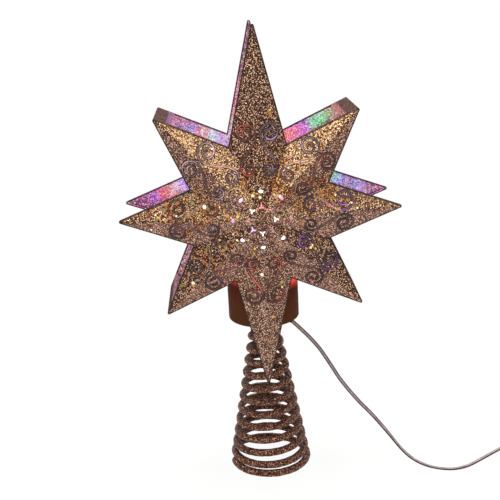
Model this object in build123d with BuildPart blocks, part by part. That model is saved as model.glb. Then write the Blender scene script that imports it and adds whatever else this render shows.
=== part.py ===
from build123d import *
import os
from math import acos, ceil, cos, dist, pi, radians, sin, sqrt, tan

# Christmas tree topper: two faceted star shells on a lit housing, carried by a conical spring foot.
# Millimetres, +Z up, origin on the surface under the middle of the foot. The star faces -Y.

# Star shells
point_count = 8
star_reach = 90.1        # middle of the star to a side or slanting point, before rounding
long_reach = 118.6       # middle of the star to the top and bottom points, before rounding
valley_reach = 46.8      # middle of the star to a notch between points
relief = 16.0            # how far the middle stands out of the edge
edge_gap = 52.0          # from the front shell's edge to the rear shell's edge
star_height = 184.5      # middle of the star above the surface
shell_wall = 1.6
rim_depth = 2.0          # straight lip behind each shell's edge
tip_round = 1.0          # radius on the points
pillar_length = 12.5     # solid tip pillar that joins the shells at each slanting point
shell_screw_setback = 8.0  # screw axis behind the tip

# Housing
housing_radius = 23.5
housing_wall = 1.6
housing_bottom = 107.5   # underside above the surface
housing_height = 44.0
housing_edge_round = 1.0
deck_thickness = 2.0
gear_well_depth = 6.5    # deck's top below the housing's top
neck_flange_reach = 1.2  # flange and bead that trap the shells' collar ribs
neck_flange_height = 2.0
neck_bead_reach = 0.9
neck_bead_height = 1.7
rib_thickness = 3.0
rib_half_width = 27.0
boss_radius = 2.9
boss_height = 8.0
boss_count = 3
bezel_thickness = 1.5
bezel_lip = 2.0
bezel_clearance = 1.5    # round the turning dome's neck

# Bottom cover
cover_thickness = 2.5
standoff_height = 2.8
standoff_radius = 2.2
standoff_reach = 10.5
standoff_count = 3

# Spring foot
wire_diameter = 5.0
foot_radius = 25.6       # middle of the wire in the bottom turn
crown_radius = 7.2       # middle of the wire in the top turn
foot_cut = 0.5           # flat ground on the underside
foot_rise = 5.8          # climb over the bottom turn
crown_rise = 7.2         # climb into the top turn
active_turns = 10.25
foot_flat_turns = 0.75
foot_ramp_turns = 0.25
foot_rest_turns = 0.25   # lies on the bottom turn before the wire climbs away
crown_ramp_turns = 0.5
crown_flat_turns = 0.5
spring_start_angle = 185.0
gap_sample = 0.5         # step of the points a winding's own gaps are measured on
gap_apart_share = 5.0    # points nearer along the wire than this, in diameters, are one turn
soft_gap = 0.3           # between the spring and what holds it

# Spring clips
clip_wall = 1.4
clip_width = 6.0
clip_foot = 5.4
clip_angles = (245.0, 295.0)
clip_slot = 1.0          # between the clips where they come nearest

# Gear motor
gear_module = 0.5
dome_teeth = 42
pinion_teeth = 14
pressure_angle = 25.0
backlash = 0.12
addendum_share = 0.9      # of the module
dedendum_share = 1.2
gear_face = 4.0
gearbox_width = 12.0
gearbox_depth = 10.0
gearbox_height = 9.0
gearbox_boss_radius = 3.0
gearbox_boss_height = 1.2
motor_cap_radius = 4.5
motor_cap_height = 2.5
motor_lead_radius = 0.5
motor_lead_spacing = 5.0
motor_lead_length = 2.1   # from the board up to the motor's cap
motor_screw_spacing = 9.0
shaft_radius = 1.5
shaft_seat = 6.0         # length of the shaft inside the gearbox

# Light dome and its post
post_radius = 8.15
post_bore = 6.0
hub_wall = 1.8
hub_height = 2.75        # hub above the gear's teeth
washer_thickness = 0.5
dome_base_wall = 2.45
dome_base_height = 3.0
dome_radius = 17.5
dome_wall = 1.5
retainer_radius = 9.3
retainer_thickness = 1.2
retainer_spigot = 3.0
cable_hole_radius = 2.5

# Lamps and boards
lamp_board_radius = 7.5
lamp_board_thickness = 1.2
lamp_radius = 1.5
lamp_height = 4.0
lamp_reach = 3.9
lamp_round_share = 0.9    # of the lamp's radius
cable_radius = 1.0
board_radius = 15.4
board_thickness = 1.6
chip_size = 5.0
chip_height = 1.6
chip_reach = 8.0
capacitor_radius = 2.5
capacitor_height = 8.0
capacitor_reach = 8.6
capacitor_round_share = 0.2

# Screws
screw_radius = 1.0
screw_head_radius = 1.9
screw_head_height = 1.5
head_round_share = 0.33   # of the head's height
cross_long_share = 1.2    # driver cross, of the head's radius
cross_wide_share = 0.25
cross_deep_share = 0.5    # of the head's height
shell_screw_radius = 0.8
shell_screw_head_radius = 1.5
shell_screw_length = 14.0
cover_screw_length = 9.0
clip_screw_length = 5.0
board_screw_length = 5.0
motor_screw_radius = 0.8
motor_screw_head_radius = 1.5
motor_screw_length = 4.5

# Fits
fit = 0.1                # loose seat between fixed pieces, on the radius
running_fit = 0.05       # turning fit, on the radius
overrun = 1.0            # how far a cut runs past the face it opens

# Lead
cord_diameter = 2.6
grommet_reach = 14.2     # cord exit from the housing's axis
grommet_flange_radius = 3.0
grommet_flange = 1.0
grommet_radius = 2.4
boot_tip_radius = 1.7
coil_centre = (198.0, 20.0)
coil_mean_radius = 15.2
coil_turns = 12.25
coil_layers = 4
coil_step = 3.1          # from one turn to the next, sideways and upwards
coil_start_angle = -90.0
tie_thickness = 0.75
tie_width = 6.0
tie_slack = 0.25         # under and over the bundle
tie_side_slack = 0.75    # inside and outside the bundle

# The hanging and lying stretch, from the grommet's tip to the coil
cord_route = [
    (18.8, 0.0, 101.9),
    (33.0, -0.6, 87.6),
    (43.9, -1.6, 69.3),
    (50.5, -2.2, 57.0),
    (62.8, -3.2, 40.4),
    (71.4, -4.2, 31.1),
    (82.3, -5.6, 16.8),
    (94.0, -9.4, 1.4),
    (103.2, -26.4, 1.4),
    (117.8, -34.0, 1.4),
    (130.2, -32.4, 1.4),
    (142.4, -24.2, 1.4),
    (160.9, -10.6, 1.4),
    (172.4, -3.7, 1.4),
]
corner_share = 0.45       # of the shorter run, taken by a rounded corner
lead_in = 10.8           # straight run into the coil

# From the coil to the plug
tail_out = 8.8            # straight run out of the coil
tail_middle = (217.2, 40.5, 7.2)
plug_place = (216.2, 56.0)
plug_run_in = 8.0         # level run into the plug

# Plug
plug_length = 22.0
plug_width = 15.5
plug_height = 8.0
plug_round = 1.6
relief_length = 10.0
relief_width = 7.0
relief_height = 5.6
shell_length = 12.0
shell_width = 12.0
shell_height = 4.5
shell_sheet = 0.35
window_share = 0.2        # size of the shell's windows, of its width
shell_seat = 4.0         # how far the shell goes into the body
tongue_height = 1.9
tongue_setback = 0.8
contact_count = 4
contact_pitch = 2.3
contact_width = 1.0
contact_height = 0.2
contact_length = 8.0

os.makedirs("parts", exist_ok=True)


def save(piece, name):
    """Label a finished piece and write it under its own name."""
    piece.label = name
    export_step(piece, f"parts/{name}.step")


# Places that several pieces share
half_gap = edge_gap / 2
star_plane = Plane(origin=(0, 0, star_height), x_dir=(1, 0, 0), z_dir=(0, -1, 0))
edge_plane = star_plane.offset(half_gap)
housing_top = housing_bottom + housing_height
housing_bore = housing_radius - housing_wall
deck_top = housing_top - gear_well_depth
deck_bottom = deck_top - deck_thickness
rib_top = housing_top - neck_flange_height - fit
rib_bottom = rib_top - rib_thickness
cover_top = housing_bottom + cover_thickness
boss_reach = housing_bore - boss_radius
boss_angles = [30 + 360 / boss_count * number for number in range(boss_count)]
centre_distance = gear_module * (dome_teeth + pinion_teeth) / 2
gear_bottom = deck_top + washer_thickness + running_fit
gear_top = gear_bottom + gear_face
hub_radius = post_radius + running_fit + hub_wall
hub_top = gear_top + hub_height
post_top = hub_top + fit
retainer_top = post_top + retainer_thickness
lamp_board_top = retainer_top + lamp_board_thickness
board_bottom = cover_top + standoff_height
board_top = board_bottom + board_thickness


def around(reach, angle, height=0.0):
    """A point at a reach and angle about the Z axis."""
    return Vector(reach * cos(radians(angle)), reach * sin(radians(angle)), height)


# Star shells: a rounded star outline drawn to a peak gives sixteen flat facets
def star_points(scale_share):
    """The outline's points and notches, clockwise from the top, at a share of full size."""
    points = []
    for number in range(2 * point_count):
        angle = radians(90 - 180 / point_count * number)
        if number % 2:
            reach = valley_reach
        elif number % point_count == 0:
            reach = long_reach
        else:
            reach = star_reach
        points.append((scale_share * reach * cos(angle), scale_share * reach * sin(angle)))
    return points


def drawn_in(points, inset):
    """A clockwise outline with every side moved inwards by the same amount."""
    corners = [Vector(*point) for point in points]
    moved = []
    for before, corner, after in zip(corners[-1:] + corners[:-1], corners, corners[1:] + corners[:1]):
        normal_in = (corner - before).normalized().rotate(Axis.Z, -90)
        normal_out = (after - corner).normalized().rotate(Axis.Z, -90)
        spot = corner + (normal_in + normal_out) * (inset / (1 + normal_in.dot(normal_out)))
        moved.append((spot.X, spot.Y))
    return moved


def star_face(plane, scale_share=1.0, round_radius=0.0, inset=0.0):
    """A star-shaped face, its points rounded or its whole outline drawn in."""
    with BuildSketch(plane) as face:
        with BuildLine():
            Polyline(*drawn_in(star_points(scale_share), inset), close=True)
        make_face()
        if round_radius:
            tips = [v for v in face.vertices() if Vector(v).length > (valley_reach + star_reach) / 2]
            fillet(tips, radius=round_radius)
    return face.sketch


pillar_start = star_reach - pillar_length
shell_screw_reach = star_reach - shell_screw_setback
slant_angles = [45 + 90 * number for number in range(4)]
shell_screw_spots = [around(shell_screw_reach, angle) for angle in slant_angles]
arm_half_span = star_reach * sin(pi / point_count)

with BuildPart() as star_block:
    extrude(star_face(edge_plane, round_radius=tip_round), amount=-half_gap)
    loft([star_face(edge_plane, round_radius=tip_round), Vertex(0, -half_gap - relief, star_height)],
         ruled=True)

with BuildPart() as collar_rib:
    with BuildSketch(Plane.XY.offset(rib_bottom)):
        Rectangle(2 * rib_half_width, half_gap + relief, align=(Align.CENTER, Align.MAX))
        Circle(housing_radius + fit, mode=Mode.SUBTRACT)
    extrude(amount=rib_thickness)
    add(star_block.part, mode=Mode.INTERSECT)

with BuildPart() as tip_pillars:
    with BuildSketch(edge_plane):
        add(star_face(Plane.XY, round_radius=tip_round))
        Circle(pillar_start, mode=Mode.SUBTRACT)
        Rectangle(2 * long_reach, 2 * arm_half_span, mode=Mode.SUBTRACT)
        Rectangle(2 * arm_half_span, 2 * long_reach, mode=Mode.SUBTRACT)
    extrude(amount=-half_gap)

with BuildPart() as half_shell:
    extrude(star_face(edge_plane, round_radius=tip_round), amount=-rim_depth)
    loft([star_face(edge_plane, round_radius=tip_round), Vertex(0, -half_gap - relief, star_height)],
         ruled=True)
    extrude(star_face(edge_plane, inset=shell_wall), amount=-rim_depth, mode=Mode.SUBTRACT)
    loft(
        [
            star_face(edge_plane, scale_share=1 - shell_wall / relief),
            Vertex(0, -half_gap - relief + shell_wall, star_height),
        ],
        ruled=True,
        mode=Mode.SUBTRACT,
    )
    add(tip_pillars.part)
    add(collar_rib.part)

with BuildPart() as front_shell:
    add(half_shell.part)
    with Locations(*[star_plane * Plane(spot, z_dir=(0, 0, -1)).location for spot in shell_screw_spots]):
        Hole(radius=shell_screw_radius + running_fit, depth=shell_screw_length / 2 + overrun)
save(front_shell.part, "front_shell")

screw_seat = shell_screw_length / 2
with BuildPart() as rear_shell:
    mirror(half_shell.part, about=Plane.XZ)
    with BuildSketch(star_plane):
        with Locations(*shell_screw_spots):
            Circle(shell_screw_radius + fit)
    extrude(amount=-half_gap, mode=Mode.SUBTRACT)
    with BuildSketch(star_plane.offset(-screw_seat)):
        with Locations(*shell_screw_spots):
            Circle(shell_screw_head_radius + fit)
    extrude(amount=-half_gap - relief, mode=Mode.SUBTRACT)
save(rear_shell.part, "rear_shell")


def pan_screw(base_plane, spots, shank, head_radius, length):
    """Screws whose heads sit on a plane's outside and whose shanks go in against its normal."""
    with BuildPart() as screws:
        with BuildSketch(base_plane):
            with Locations(*spots):
                Circle(shank)
        extrude(amount=-length)
        with BuildSketch(base_plane):
            with Locations(*spots):
                Circle(head_radius)
        extrude(amount=screw_head_height)
        fillet(screws.faces().sort_by(Axis(base_plane.origin, base_plane.z_dir))[-len(spots):].edges(),
               radius=screw_head_height * head_round_share)
        with BuildSketch(base_plane.offset(screw_head_height)):
            with Locations(*spots):
                Rectangle(head_radius * cross_long_share, head_radius * cross_wide_share)
                Rectangle(head_radius * cross_wide_share, head_radius * cross_long_share)
        extrude(amount=-screw_head_height * cross_deep_share, mode=Mode.SUBTRACT)
    return screws.part


rear_screw_plane = Plane(origin=(0, screw_seat, star_height), x_dir=(-1, 0, 0), z_dir=(0, 1, 0))
save(pan_screw(rear_screw_plane, shell_screw_spots, shell_screw_radius, shell_screw_head_radius,
               shell_screw_length), "shell_screws")


# Housing: a can, open below, with a deck near its top and a hollow post for the light dome
motor_place = around(centre_distance, 90)
motor_screw_spots = [motor_place + Vector(side * motor_screw_spacing / 2, 0) for side in (-1, 1)]
boss_spots = [around(boss_reach, angle) for angle in boss_angles]

with BuildPart() as housing:
    with BuildSketch(Plane.XY.offset(housing_bottom)):
        Circle(housing_radius)
        Circle(housing_bore, mode=Mode.SUBTRACT)
    extrude(amount=housing_height)
    fillet(housing.edges().filter_by(GeomType.CIRCLE).group_by(Axis.Z)[0].sort_by(SortBy.RADIUS)[-1],
           radius=housing_edge_round)
    with BuildSketch(Plane.XY.offset(deck_bottom)):
        Circle(housing_radius - housing_wall / 2)
    extrude(amount=deck_thickness)
    with BuildSketch(Plane.XY.offset(deck_top)):
        Circle(post_radius)
    extrude(amount=post_top - deck_top)
    with BuildSketch(Plane.XY.offset(housing_top - neck_flange_height)):
        Circle(housing_radius + neck_flange_reach)
        Circle(housing_bore, mode=Mode.SUBTRACT)
    extrude(amount=neck_flange_height)
    with BuildSketch(Plane.XY.offset(rib_bottom - fit - neck_bead_height)):
        Circle(housing_radius + neck_bead_reach)
        Circle(housing_radius - housing_wall / 2, mode=Mode.SUBTRACT)
    extrude(amount=neck_bead_height)
    with BuildSketch(Plane.XY.offset(cover_top)):
        with Locations(*boss_spots):
            Circle(boss_radius)
        for angle in boss_angles:
            with Locations(Location(around(boss_reach + boss_radius / 2, angle), angle)):
                Rectangle(boss_radius + housing_wall / 2, boss_radius)
    extrude(amount=boss_height)
    with BuildSketch(Plane.XY.offset(deck_bottom)):
        Circle(post_bore)
        with Locations(motor_place):
            Circle(gearbox_boss_radius + fit)
    extrude(amount=post_top - deck_bottom, mode=Mode.SUBTRACT)
    with Locations(*[spot + Vector(0, 0, deck_top) for spot in motor_screw_spots]):
        CounterSinkHole(radius=motor_screw_radius + fit, counter_sink_radius=motor_screw_head_radius + fit,
                        depth=deck_thickness)
    with BuildSketch(Plane.XY.offset(cover_top)):
        with Locations(*boss_spots):
            Circle(screw_radius + running_fit)
    extrude(amount=boss_height - screw_radius, mode=Mode.SUBTRACT)
save(housing.part, "housing")

bezel_bore = hub_radius + fit + dome_base_wall + bezel_clearance
with BuildPart() as housing_bezel:
    with BuildSketch(Plane.XY.offset(housing_top)):
        Circle(housing_radius)
        Circle(bezel_bore, mode=Mode.SUBTRACT)
    extrude(amount=bezel_thickness)
    with BuildSketch(Plane.XY.offset(housing_top)):
        Circle(housing_bore - fit)
        Circle(housing_bore - fit - housing_wall, mode=Mode.SUBTRACT)
    extrude(amount=-bezel_lip)
save(housing_bezel.part, "housing_bezel")

# Bottom cover: closes the can, carries the board inside and the spring outside
standoff_spots = [around(standoff_reach, 90 + 360 / standoff_count * (number + 1 / 2))
                  for number in range(standoff_count)]
clip_screw_reach = crown_radius + wire_diameter / 2 + soft_gap + clip_wall + clip_foot / 2
clip_screw_spots = [around(clip_screw_reach, angle) for angle in clip_angles]

with BuildPart() as bottom_cover:
    with BuildSketch(Plane.XY.offset(housing_bottom)):
        Circle(housing_bore - fit)
    extrude(amount=cover_thickness)
    with BuildSketch(Plane.XY.offset(cover_top)):
        with Locations(*clip_screw_spots):
            Circle(standoff_radius)
    extrude(amount=standoff_height - fit)
    with BuildSketch(Plane.XY.offset(cover_top)):
        with Locations(*standoff_spots):
            Circle(standoff_radius)
    extrude(amount=standoff_height)
    with BuildSketch(Plane.XY.offset(board_bottom)):
        with Locations(*standoff_spots):
            Circle(screw_radius + running_fit)
    extrude(amount=-standoff_height - cover_thickness / 2, mode=Mode.SUBTRACT)
    with BuildSketch(Plane.XY.offset(housing_bottom)):
        with Locations(*clip_screw_spots):
            Circle(screw_radius + running_fit)
    extrude(amount=cover_thickness + standoff_height / 2, mode=Mode.SUBTRACT)
    under = Vector(0, 0, housing_bottom)
    with Locations(*[Plane(spot + under, z_dir=(0, 0, -1)).location for spot in boss_spots]):
        CounterSinkHole(radius=screw_radius + fit, counter_sink_radius=screw_head_radius + fit,
                        depth=cover_thickness)
    with BuildSketch(Plane.XY.offset(housing_bottom)):
        with Locations(around(grommet_reach, 0)):
            Circle(grommet_radius + running_fit)
    extrude(amount=cover_thickness, mode=Mode.SUBTRACT)
save(bottom_cover.part, "bottom_cover")


def flush_screw(base_plane, spots, shank, head_radius, length):
    """Countersunk screws whose flat heads lie in a plane and whose shanks go in against its normal."""
    head_depth = head_radius - shank
    with BuildPart() as screws:
        for spot in spots:
            place = base_plane.offset(-head_depth) * Location(spot)
            with BuildSketch(Plane(place)):
                Circle(shank)
            extrude(amount=head_depth - length)
            with BuildSketch(Plane(place)):
                Circle(shank)
            with BuildSketch(Plane(place).offset(head_depth)):
                Circle(head_radius)
            loft()
    return screws.part


save(flush_screw(Plane(origin=(0, 0, housing_bottom), x_dir=(1, 0, 0), z_dir=(0, 0, -1)),
                 [Vector(spot.X, -spot.Y) for spot in boss_spots],
                 screw_radius, screw_head_radius, cover_screw_length), "cover_screws")

# Spring foot: one unbroken wire, a flat turn below, open turns between and a flat half turn above
foot_height = wire_diameter / 2 - foot_cut
crown_height = housing_bottom - soft_gap - wire_diameter / 2
quarter = pi / 2


def spring_heights():
    """Height of the wire's middle at every quarter turn, from the foot to the crown."""
    heights = [foot_height] * (round(4 * foot_flat_turns) + 1)
    ramp = round(4 * foot_ramp_turns)
    heights += [foot_height + foot_rise * (number + 1) / ramp for number in range(ramp)]
    low, high = heights[-1], crown_height - crown_rise
    heights += [low] * round(4 * foot_rest_turns)
    quarters = round(4 * active_turns)
    heights += [low + (high - low) * (number + 1) / quarters for number in range(quarters)]
    ramp = round(4 * crown_ramp_turns)
    heights += [high + crown_rise * (number + 1) / ramp for number in range(ramp)]
    return heights + [crown_height] * round(4 * crown_flat_turns)


def steady_slopes(values):
    """Slope at each value that never overshoots its neighbours: nothing where it is flat on either side."""
    steps = [after - before for before, after in zip(values, values[1:])]
    slopes = [steps[0]]
    for before, after in zip(steps, steps[1:]):
        slopes.append(2 * before * after / (before + after) if before * after > 0 else 0.0)
    return slopes + [steps[-1]]


def wound_stations(reaches, heights, start_angle, centre):
    """Points a quarter turn apart and the way the wire runs at each."""
    stations = []
    rows = zip(reaches, steady_slopes(reaches), heights, steady_slopes(heights))
    for number, (reach, reach_slope, height, height_slope) in enumerate(rows):
        angle = radians(start_angle) + number * quarter
        outward = Vector(cos(angle), sin(angle))
        onward = Vector(-sin(angle), cos(angle))
        point = Vector(*centre) + outward * reach + Vector(0, 0, height)
        run = onward * reach + (outward * reach_slope + Vector(0, 0, height_slope)) * (1 / quarter)
        stations.append((point, run.normalized()))
    return stations


def biarc_joint(start, start_run, end, end_run):
    """Where two arcs meet that leave start and reach end along the given directions."""
    span = end - start
    both = start_run + end_run
    spread = 2 * (1 - start_run.dot(end_run))
    reach = (sqrt(span.dot(both) ** 2 + spread * span.dot(span)) - span.dot(both)) / spread
    first = start + start_run * reach
    second = end - end_run * reach
    return (first + second) * 0.5, (second - first).normalized()


def wound_tube(stations, diameter):
    """A round tube wound through the stations, straight for one diameter at each end."""
    with BuildPart() as tube:
        with BuildLine() as line:
            first, first_run = stations[0]
            Line(first - first_run * diameter, first)
            for (start, start_run), (end, end_run) in zip(stations, stations[1:]):
                joint, joint_run = biarc_joint(start, start_run, end, end_run)
                TangentArc(start, joint, tangent=start_run)
                TangentArc(joint, end, tangent=joint_run)
            last, last_run = stations[-1]
            Line(last, last + last_run * diameter)
        path = line.wire()
        with BuildSketch(Plane(origin=path @ 0, z_dir=path % 0)):
            Circle(diameter / 2)
        sweep()
    return tube.part, path


def least_gap(line, diameter):
    """Smallest clear space between one turn of a wound tube and another."""
    count = ceil(line.length / gap_sample)
    spots = [tuple(line @ (number / count)) for number in range(count + 1)]
    away = ceil(gap_apart_share * diameter / gap_sample)
    closest = min(dist(spots[a], spots[b]) for a in range(count + 1) for b in range(a + away, count + 1))
    return closest - diameter


heights = spring_heights()
taper = (crown_radius - foot_radius) / (crown_height - foot_height)
reaches = [foot_radius + taper * (height - foot_height) for height in heights]
spring_stations = wound_stations(reaches, heights, spring_start_angle, (0, 0))
spring_tube, spring_line = wound_tube(spring_stations, wire_diameter)
spring_turns = (len(heights) - 1) / 4
with BuildPart() as spring:
    add(spring_tube)
    split(bisect_by=Plane.XY, keep=Keep.TOP)
print("spring turns", spring_turns, "least gap", round(least_gap(spring_line, wire_diameter), 2),
      "volume", round(spring_tube.volume), "section times length",
      round(pi * wire_diameter ** 2 / 4 * spring_line.length))
save(spring.part, "spring")

# Spring clips: saddles screwed under the cover that hold the top turn
clip_height = wire_diameter + 2 * soft_gap + clip_wall
clip_inner = crown_radius - wire_diameter / 2 - soft_gap - clip_wall
clip_outer = clip_screw_reach + clip_foot / 2
with BuildPart() as spring_clips:
    for angle in clip_angles:
        with BuildSketch(Plane(Location((0, 0, housing_bottom), angle))):
            with Locations((clip_inner, 0)):
                Rectangle(clip_outer - clip_inner, clip_width, align=(Align.MIN, Align.CENTER))
        extrude(amount=-clip_height)
    with BuildSketch(Plane.XY.offset(housing_bottom)):
        Circle(crown_radius + wire_diameter / 2 + soft_gap)
        Circle(crown_radius - wire_diameter / 2 - soft_gap, mode=Mode.SUBTRACT)
    extrude(amount=clip_wall - clip_height, mode=Mode.SUBTRACT)
    with BuildSketch(Plane(Location((0, 0, housing_bottom), sum(clip_angles) / len(clip_angles)))):
        Rectangle(clip_outer, clip_slot, align=(Align.MIN, Align.CENTER))
    extrude(amount=-clip_height, mode=Mode.SUBTRACT)
    with BuildSketch(Plane.XY.offset(housing_bottom - clip_height)):
        with Locations(*clip_screw_spots):
            Circle(screw_radius + fit)
    extrude(amount=clip_height, mode=Mode.SUBTRACT)
    with BuildSketch(Plane.XY.offset(housing_bottom - clip_wall)):
        with Locations(*clip_screw_spots):
            Circle(screw_head_radius + fit)
    extrude(amount=clip_wall - clip_height, mode=Mode.SUBTRACT)
save(spring_clips.part, "spring_clips")

clip_screw_plane = Plane(origin=(0, 0, housing_bottom - clip_wall), x_dir=(1, 0, 0), z_dir=(0, 0, -1))
save(pan_screw(clip_screw_plane, [Vector(spot.X, -spot.Y) for spot in clip_screw_spots],
               screw_radius, screw_head_radius, clip_screw_length), "clip_screws")

# Control board on the cover's standoffs
with BuildPart() as control_board:
    with BuildSketch(Plane.XY.offset(board_bottom)):
        Circle(board_radius)
        with Locations(*standoff_spots):
            Circle(screw_radius + fit, mode=Mode.SUBTRACT)
    extrude(amount=board_thickness)
save(control_board.part, "control_board")

save(pan_screw(Plane.XY.offset(board_top), standoff_spots, screw_radius, screw_head_radius,
               board_screw_length), "board_screws")

with BuildPart() as driver_chip:
    with BuildSketch(Plane.XY.offset(board_top)):
        with Locations(around(chip_reach, 180)):
            Rectangle(chip_size, chip_size)
    extrude(amount=chip_height)
save(driver_chip.part, "driver_chip")

with BuildPart() as capacitor:
    with BuildSketch(Plane.XY.offset(board_top)):
        with Locations(around(capacitor_reach, 270 + 360 / standoff_count / 2)):
            Circle(capacitor_radius)
    extrude(amount=capacitor_height)
    fillet(capacitor.edges().group_by(Axis.Z)[-1], radius=capacitor_radius * capacitor_round_share)
save(capacitor.part, "capacitor")

# Gear motor under the deck, its shaft up through it
gearbox_bottom = deck_bottom - gearbox_height
motor_bottom = board_top + motor_lead_length + motor_cap_height
with BuildPart() as gearbox:
    with BuildSketch(Plane.XY.offset(gearbox_bottom)):
        with Locations(motor_place):
            RectangleRounded(gearbox_width, gearbox_depth, radius=screw_radius)
    extrude(amount=gearbox_height)
    with BuildSketch(Plane.XY.offset(deck_bottom)):
        with Locations(motor_place):
            Circle(gearbox_boss_radius)
    extrude(amount=gearbox_boss_height)
    with BuildSketch(Plane.XY.offset(deck_bottom + gearbox_boss_height)):
        with Locations(motor_place):
            Circle(shaft_radius + running_fit)
    extrude(amount=-gearbox_boss_height - shaft_seat, mode=Mode.SUBTRACT)
    with BuildSketch(Plane.XY.offset(deck_bottom)):
        with Locations(*motor_screw_spots):
            Circle(motor_screw_radius + running_fit)
    extrude(amount=-motor_screw_length, mode=Mode.SUBTRACT)
save(gearbox.part, "gearbox")

with BuildPart() as motor:
    with BuildSketch(Plane.XY.offset(motor_bottom)):
        with Locations(motor_place):
            Circle(gearbox_width / 2)
            Rectangle(gearbox_width, gearbox_depth, mode=Mode.INTERSECT)
    extrude(amount=gearbox_bottom - motor_bottom)
    with BuildSketch(Plane.XY.offset(motor_bottom)):
        with Locations(motor_place):
            Circle(motor_cap_radius)
    extrude(amount=-motor_cap_height)
save(motor.part, "motor")

with BuildPart() as motor_leads:
    with BuildSketch(Plane.XY.offset(board_top)):
        with Locations(*[motor_place + Vector(side * motor_lead_spacing / 2) for side in (-1, 1)]):
            Circle(motor_lead_radius)
    extrude(amount=motor_lead_length)
save(motor_leads.part, "motor_leads")

save(flush_screw(Plane.XY.offset(deck_top), motor_screw_spots, motor_screw_radius, motor_screw_head_radius,
                 motor_screw_length), "motor_screws")

shaft_bottom = deck_bottom + gearbox_boss_height - shaft_seat
with BuildPart() as motor_shaft:
    with BuildSketch(Plane.XY.offset(shaft_bottom)):
        with Locations(motor_place):
            Circle(shaft_radius)
    extrude(amount=gear_top - shaft_bottom)
save(motor_shaft.part, "motor_shaft")


def involute(angle):
    return tan(angle) - angle


def gear_outline(teeth):
    """Involute tooth profile, one tooth centred on the +X side, counter-clockwise."""
    pitch = gear_module * teeth / 2
    base = pitch * cos(radians(pressure_angle))
    tip = pitch + gear_module * addendum_share
    root = pitch - gear_module * dedendum_share
    half_tooth = pi / teeth / 2 - backlash / 2 / pitch + involute(radians(pressure_angle))
    low = max(base, root)
    flank = []
    for number in range(5):
        reach = low + (tip - low) * number / 4
        flank.append((reach, half_tooth - involute(acos(min(1.0, base / reach)))))
    if root < low:
        flank.insert(0, (root, flank[0][1]))
    points = []
    for tooth in range(teeth):
        middle = 2 * pi * tooth / teeth
        points += [(reach, middle - away) for reach, away in flank]
        points += [(reach, middle + away) for reach, away in reversed(flank)]
    return [(reach * cos(angle), reach * sin(angle)) for reach, angle in points]


with BuildPart() as drive_pinion:
    with BuildSketch(Plane.XY.offset(gear_bottom)):
        with Locations(Location(motor_place, 90 + 180 / pinion_teeth)):
            with BuildSketch(mode=Mode.PRIVATE) as pinion_face:
                with BuildLine():
                    Polyline(*gear_outline(pinion_teeth), close=True)
                make_face()
            add(pinion_face.sketch)
        with Locations(motor_place):
            Circle(shaft_radius, mode=Mode.SUBTRACT)
    extrude(amount=gear_face)
save(drive_pinion.part, "drive_pinion")

with BuildPart() as thrust_washer:
    with BuildSketch(Plane.XY.offset(deck_top)):
        Circle(hub_radius)
        Circle(post_radius + fit, mode=Mode.SUBTRACT)
    extrude(amount=washer_thickness)
save(thrust_washer.part, "thrust_washer")

with BuildPart() as dome_gear:
    with BuildSketch(Plane.XY.offset(gear_bottom)):
        with BuildLine(Location((0, 0), 90)):
            Polyline(*gear_outline(dome_teeth), close=True)
        make_face()
    extrude(amount=gear_face)
    with BuildSketch(Plane.XY.offset(gear_top)):
        Circle(hub_radius)
    extrude(amount=hub_height)
    with BuildSketch(Plane.XY.offset(gear_bottom)):
        Circle(post_radius + running_fit)
    extrude(amount=hub_top - gear_bottom, mode=Mode.SUBTRACT)
save(dome_gear.part, "dome_gear")

# Light dome: a clear ball on a short neck that sits on the gear ring
dome_bore = hub_radius + fit
dome_neck = dome_bore + dome_base_wall
dome_base_top = gear_top + dome_base_height
dome_middle = dome_base_top + sqrt(dome_radius ** 2 - dome_neck ** 2)
dome_inside = dome_radius - dome_wall
with BuildPart() as lens_dome:
    with BuildSketch(Plane.XZ):
        with BuildLine():
            outer_low = (dome_neck, dome_base_top)
            outer_top = (0, dome_middle + dome_radius)
            inner_top = (0, dome_middle + dome_inside)
            inner_low = (dome_bore, dome_middle - sqrt(dome_inside ** 2 - dome_bore ** 2))
            Polyline(inner_low, (dome_bore, gear_top), (dome_neck, gear_top), outer_low)
            ThreePointArc(outer_low, (dome_radius, dome_middle), outer_top)
            Line(outer_top, inner_top)
            ThreePointArc(inner_top, (dome_inside, dome_middle), inner_low)
        make_face()
    revolve(axis=Axis.Z)
save(lens_dome.part, "lens_dome")

with BuildPart() as dome_retainer:
    with BuildSketch(Plane.XY.offset(post_top)):
        Circle(retainer_radius)
    extrude(amount=retainer_thickness)
    with BuildSketch(Plane.XY.offset(post_top)):
        Circle(post_bore - running_fit)
    extrude(amount=-retainer_spigot)
    with BuildSketch(Plane.XY.offset(retainer_top)):
        Circle(cable_hole_radius)
    extrude(amount=-retainer_thickness - retainer_spigot, mode=Mode.SUBTRACT)
save(dome_retainer.part, "dome_retainer")

# Lamp board on the retainer, three lamps on it, and their cable down through the post
with BuildPart() as lamp_board:
    with BuildSketch(Plane.XY.offset(retainer_top)):
        Circle(lamp_board_radius)
    extrude(amount=lamp_board_thickness)
save(lamp_board.part, "lamp_board")

for number, colour in enumerate(("red", "green", "blue")):
    with BuildPart() as lamp:
        with BuildSketch(Plane.XY.offset(lamp_board_top)):
            with Locations(around(lamp_reach, 90 + 120 * number)):
                Circle(lamp_radius)
        extrude(amount=lamp_height)
        fillet(lamp.edges().group_by(Axis.Z)[-1], radius=lamp_radius * lamp_round_share)
    save(lamp.part, f"{colour}_lamp")

with BuildPart() as lamp_cable:
    with BuildSketch(Plane.XY.offset(board_top)):
        Circle(cable_radius)
    extrude(amount=retainer_top - board_top)
save(lamp_cable.part, "lamp_cable")

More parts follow.
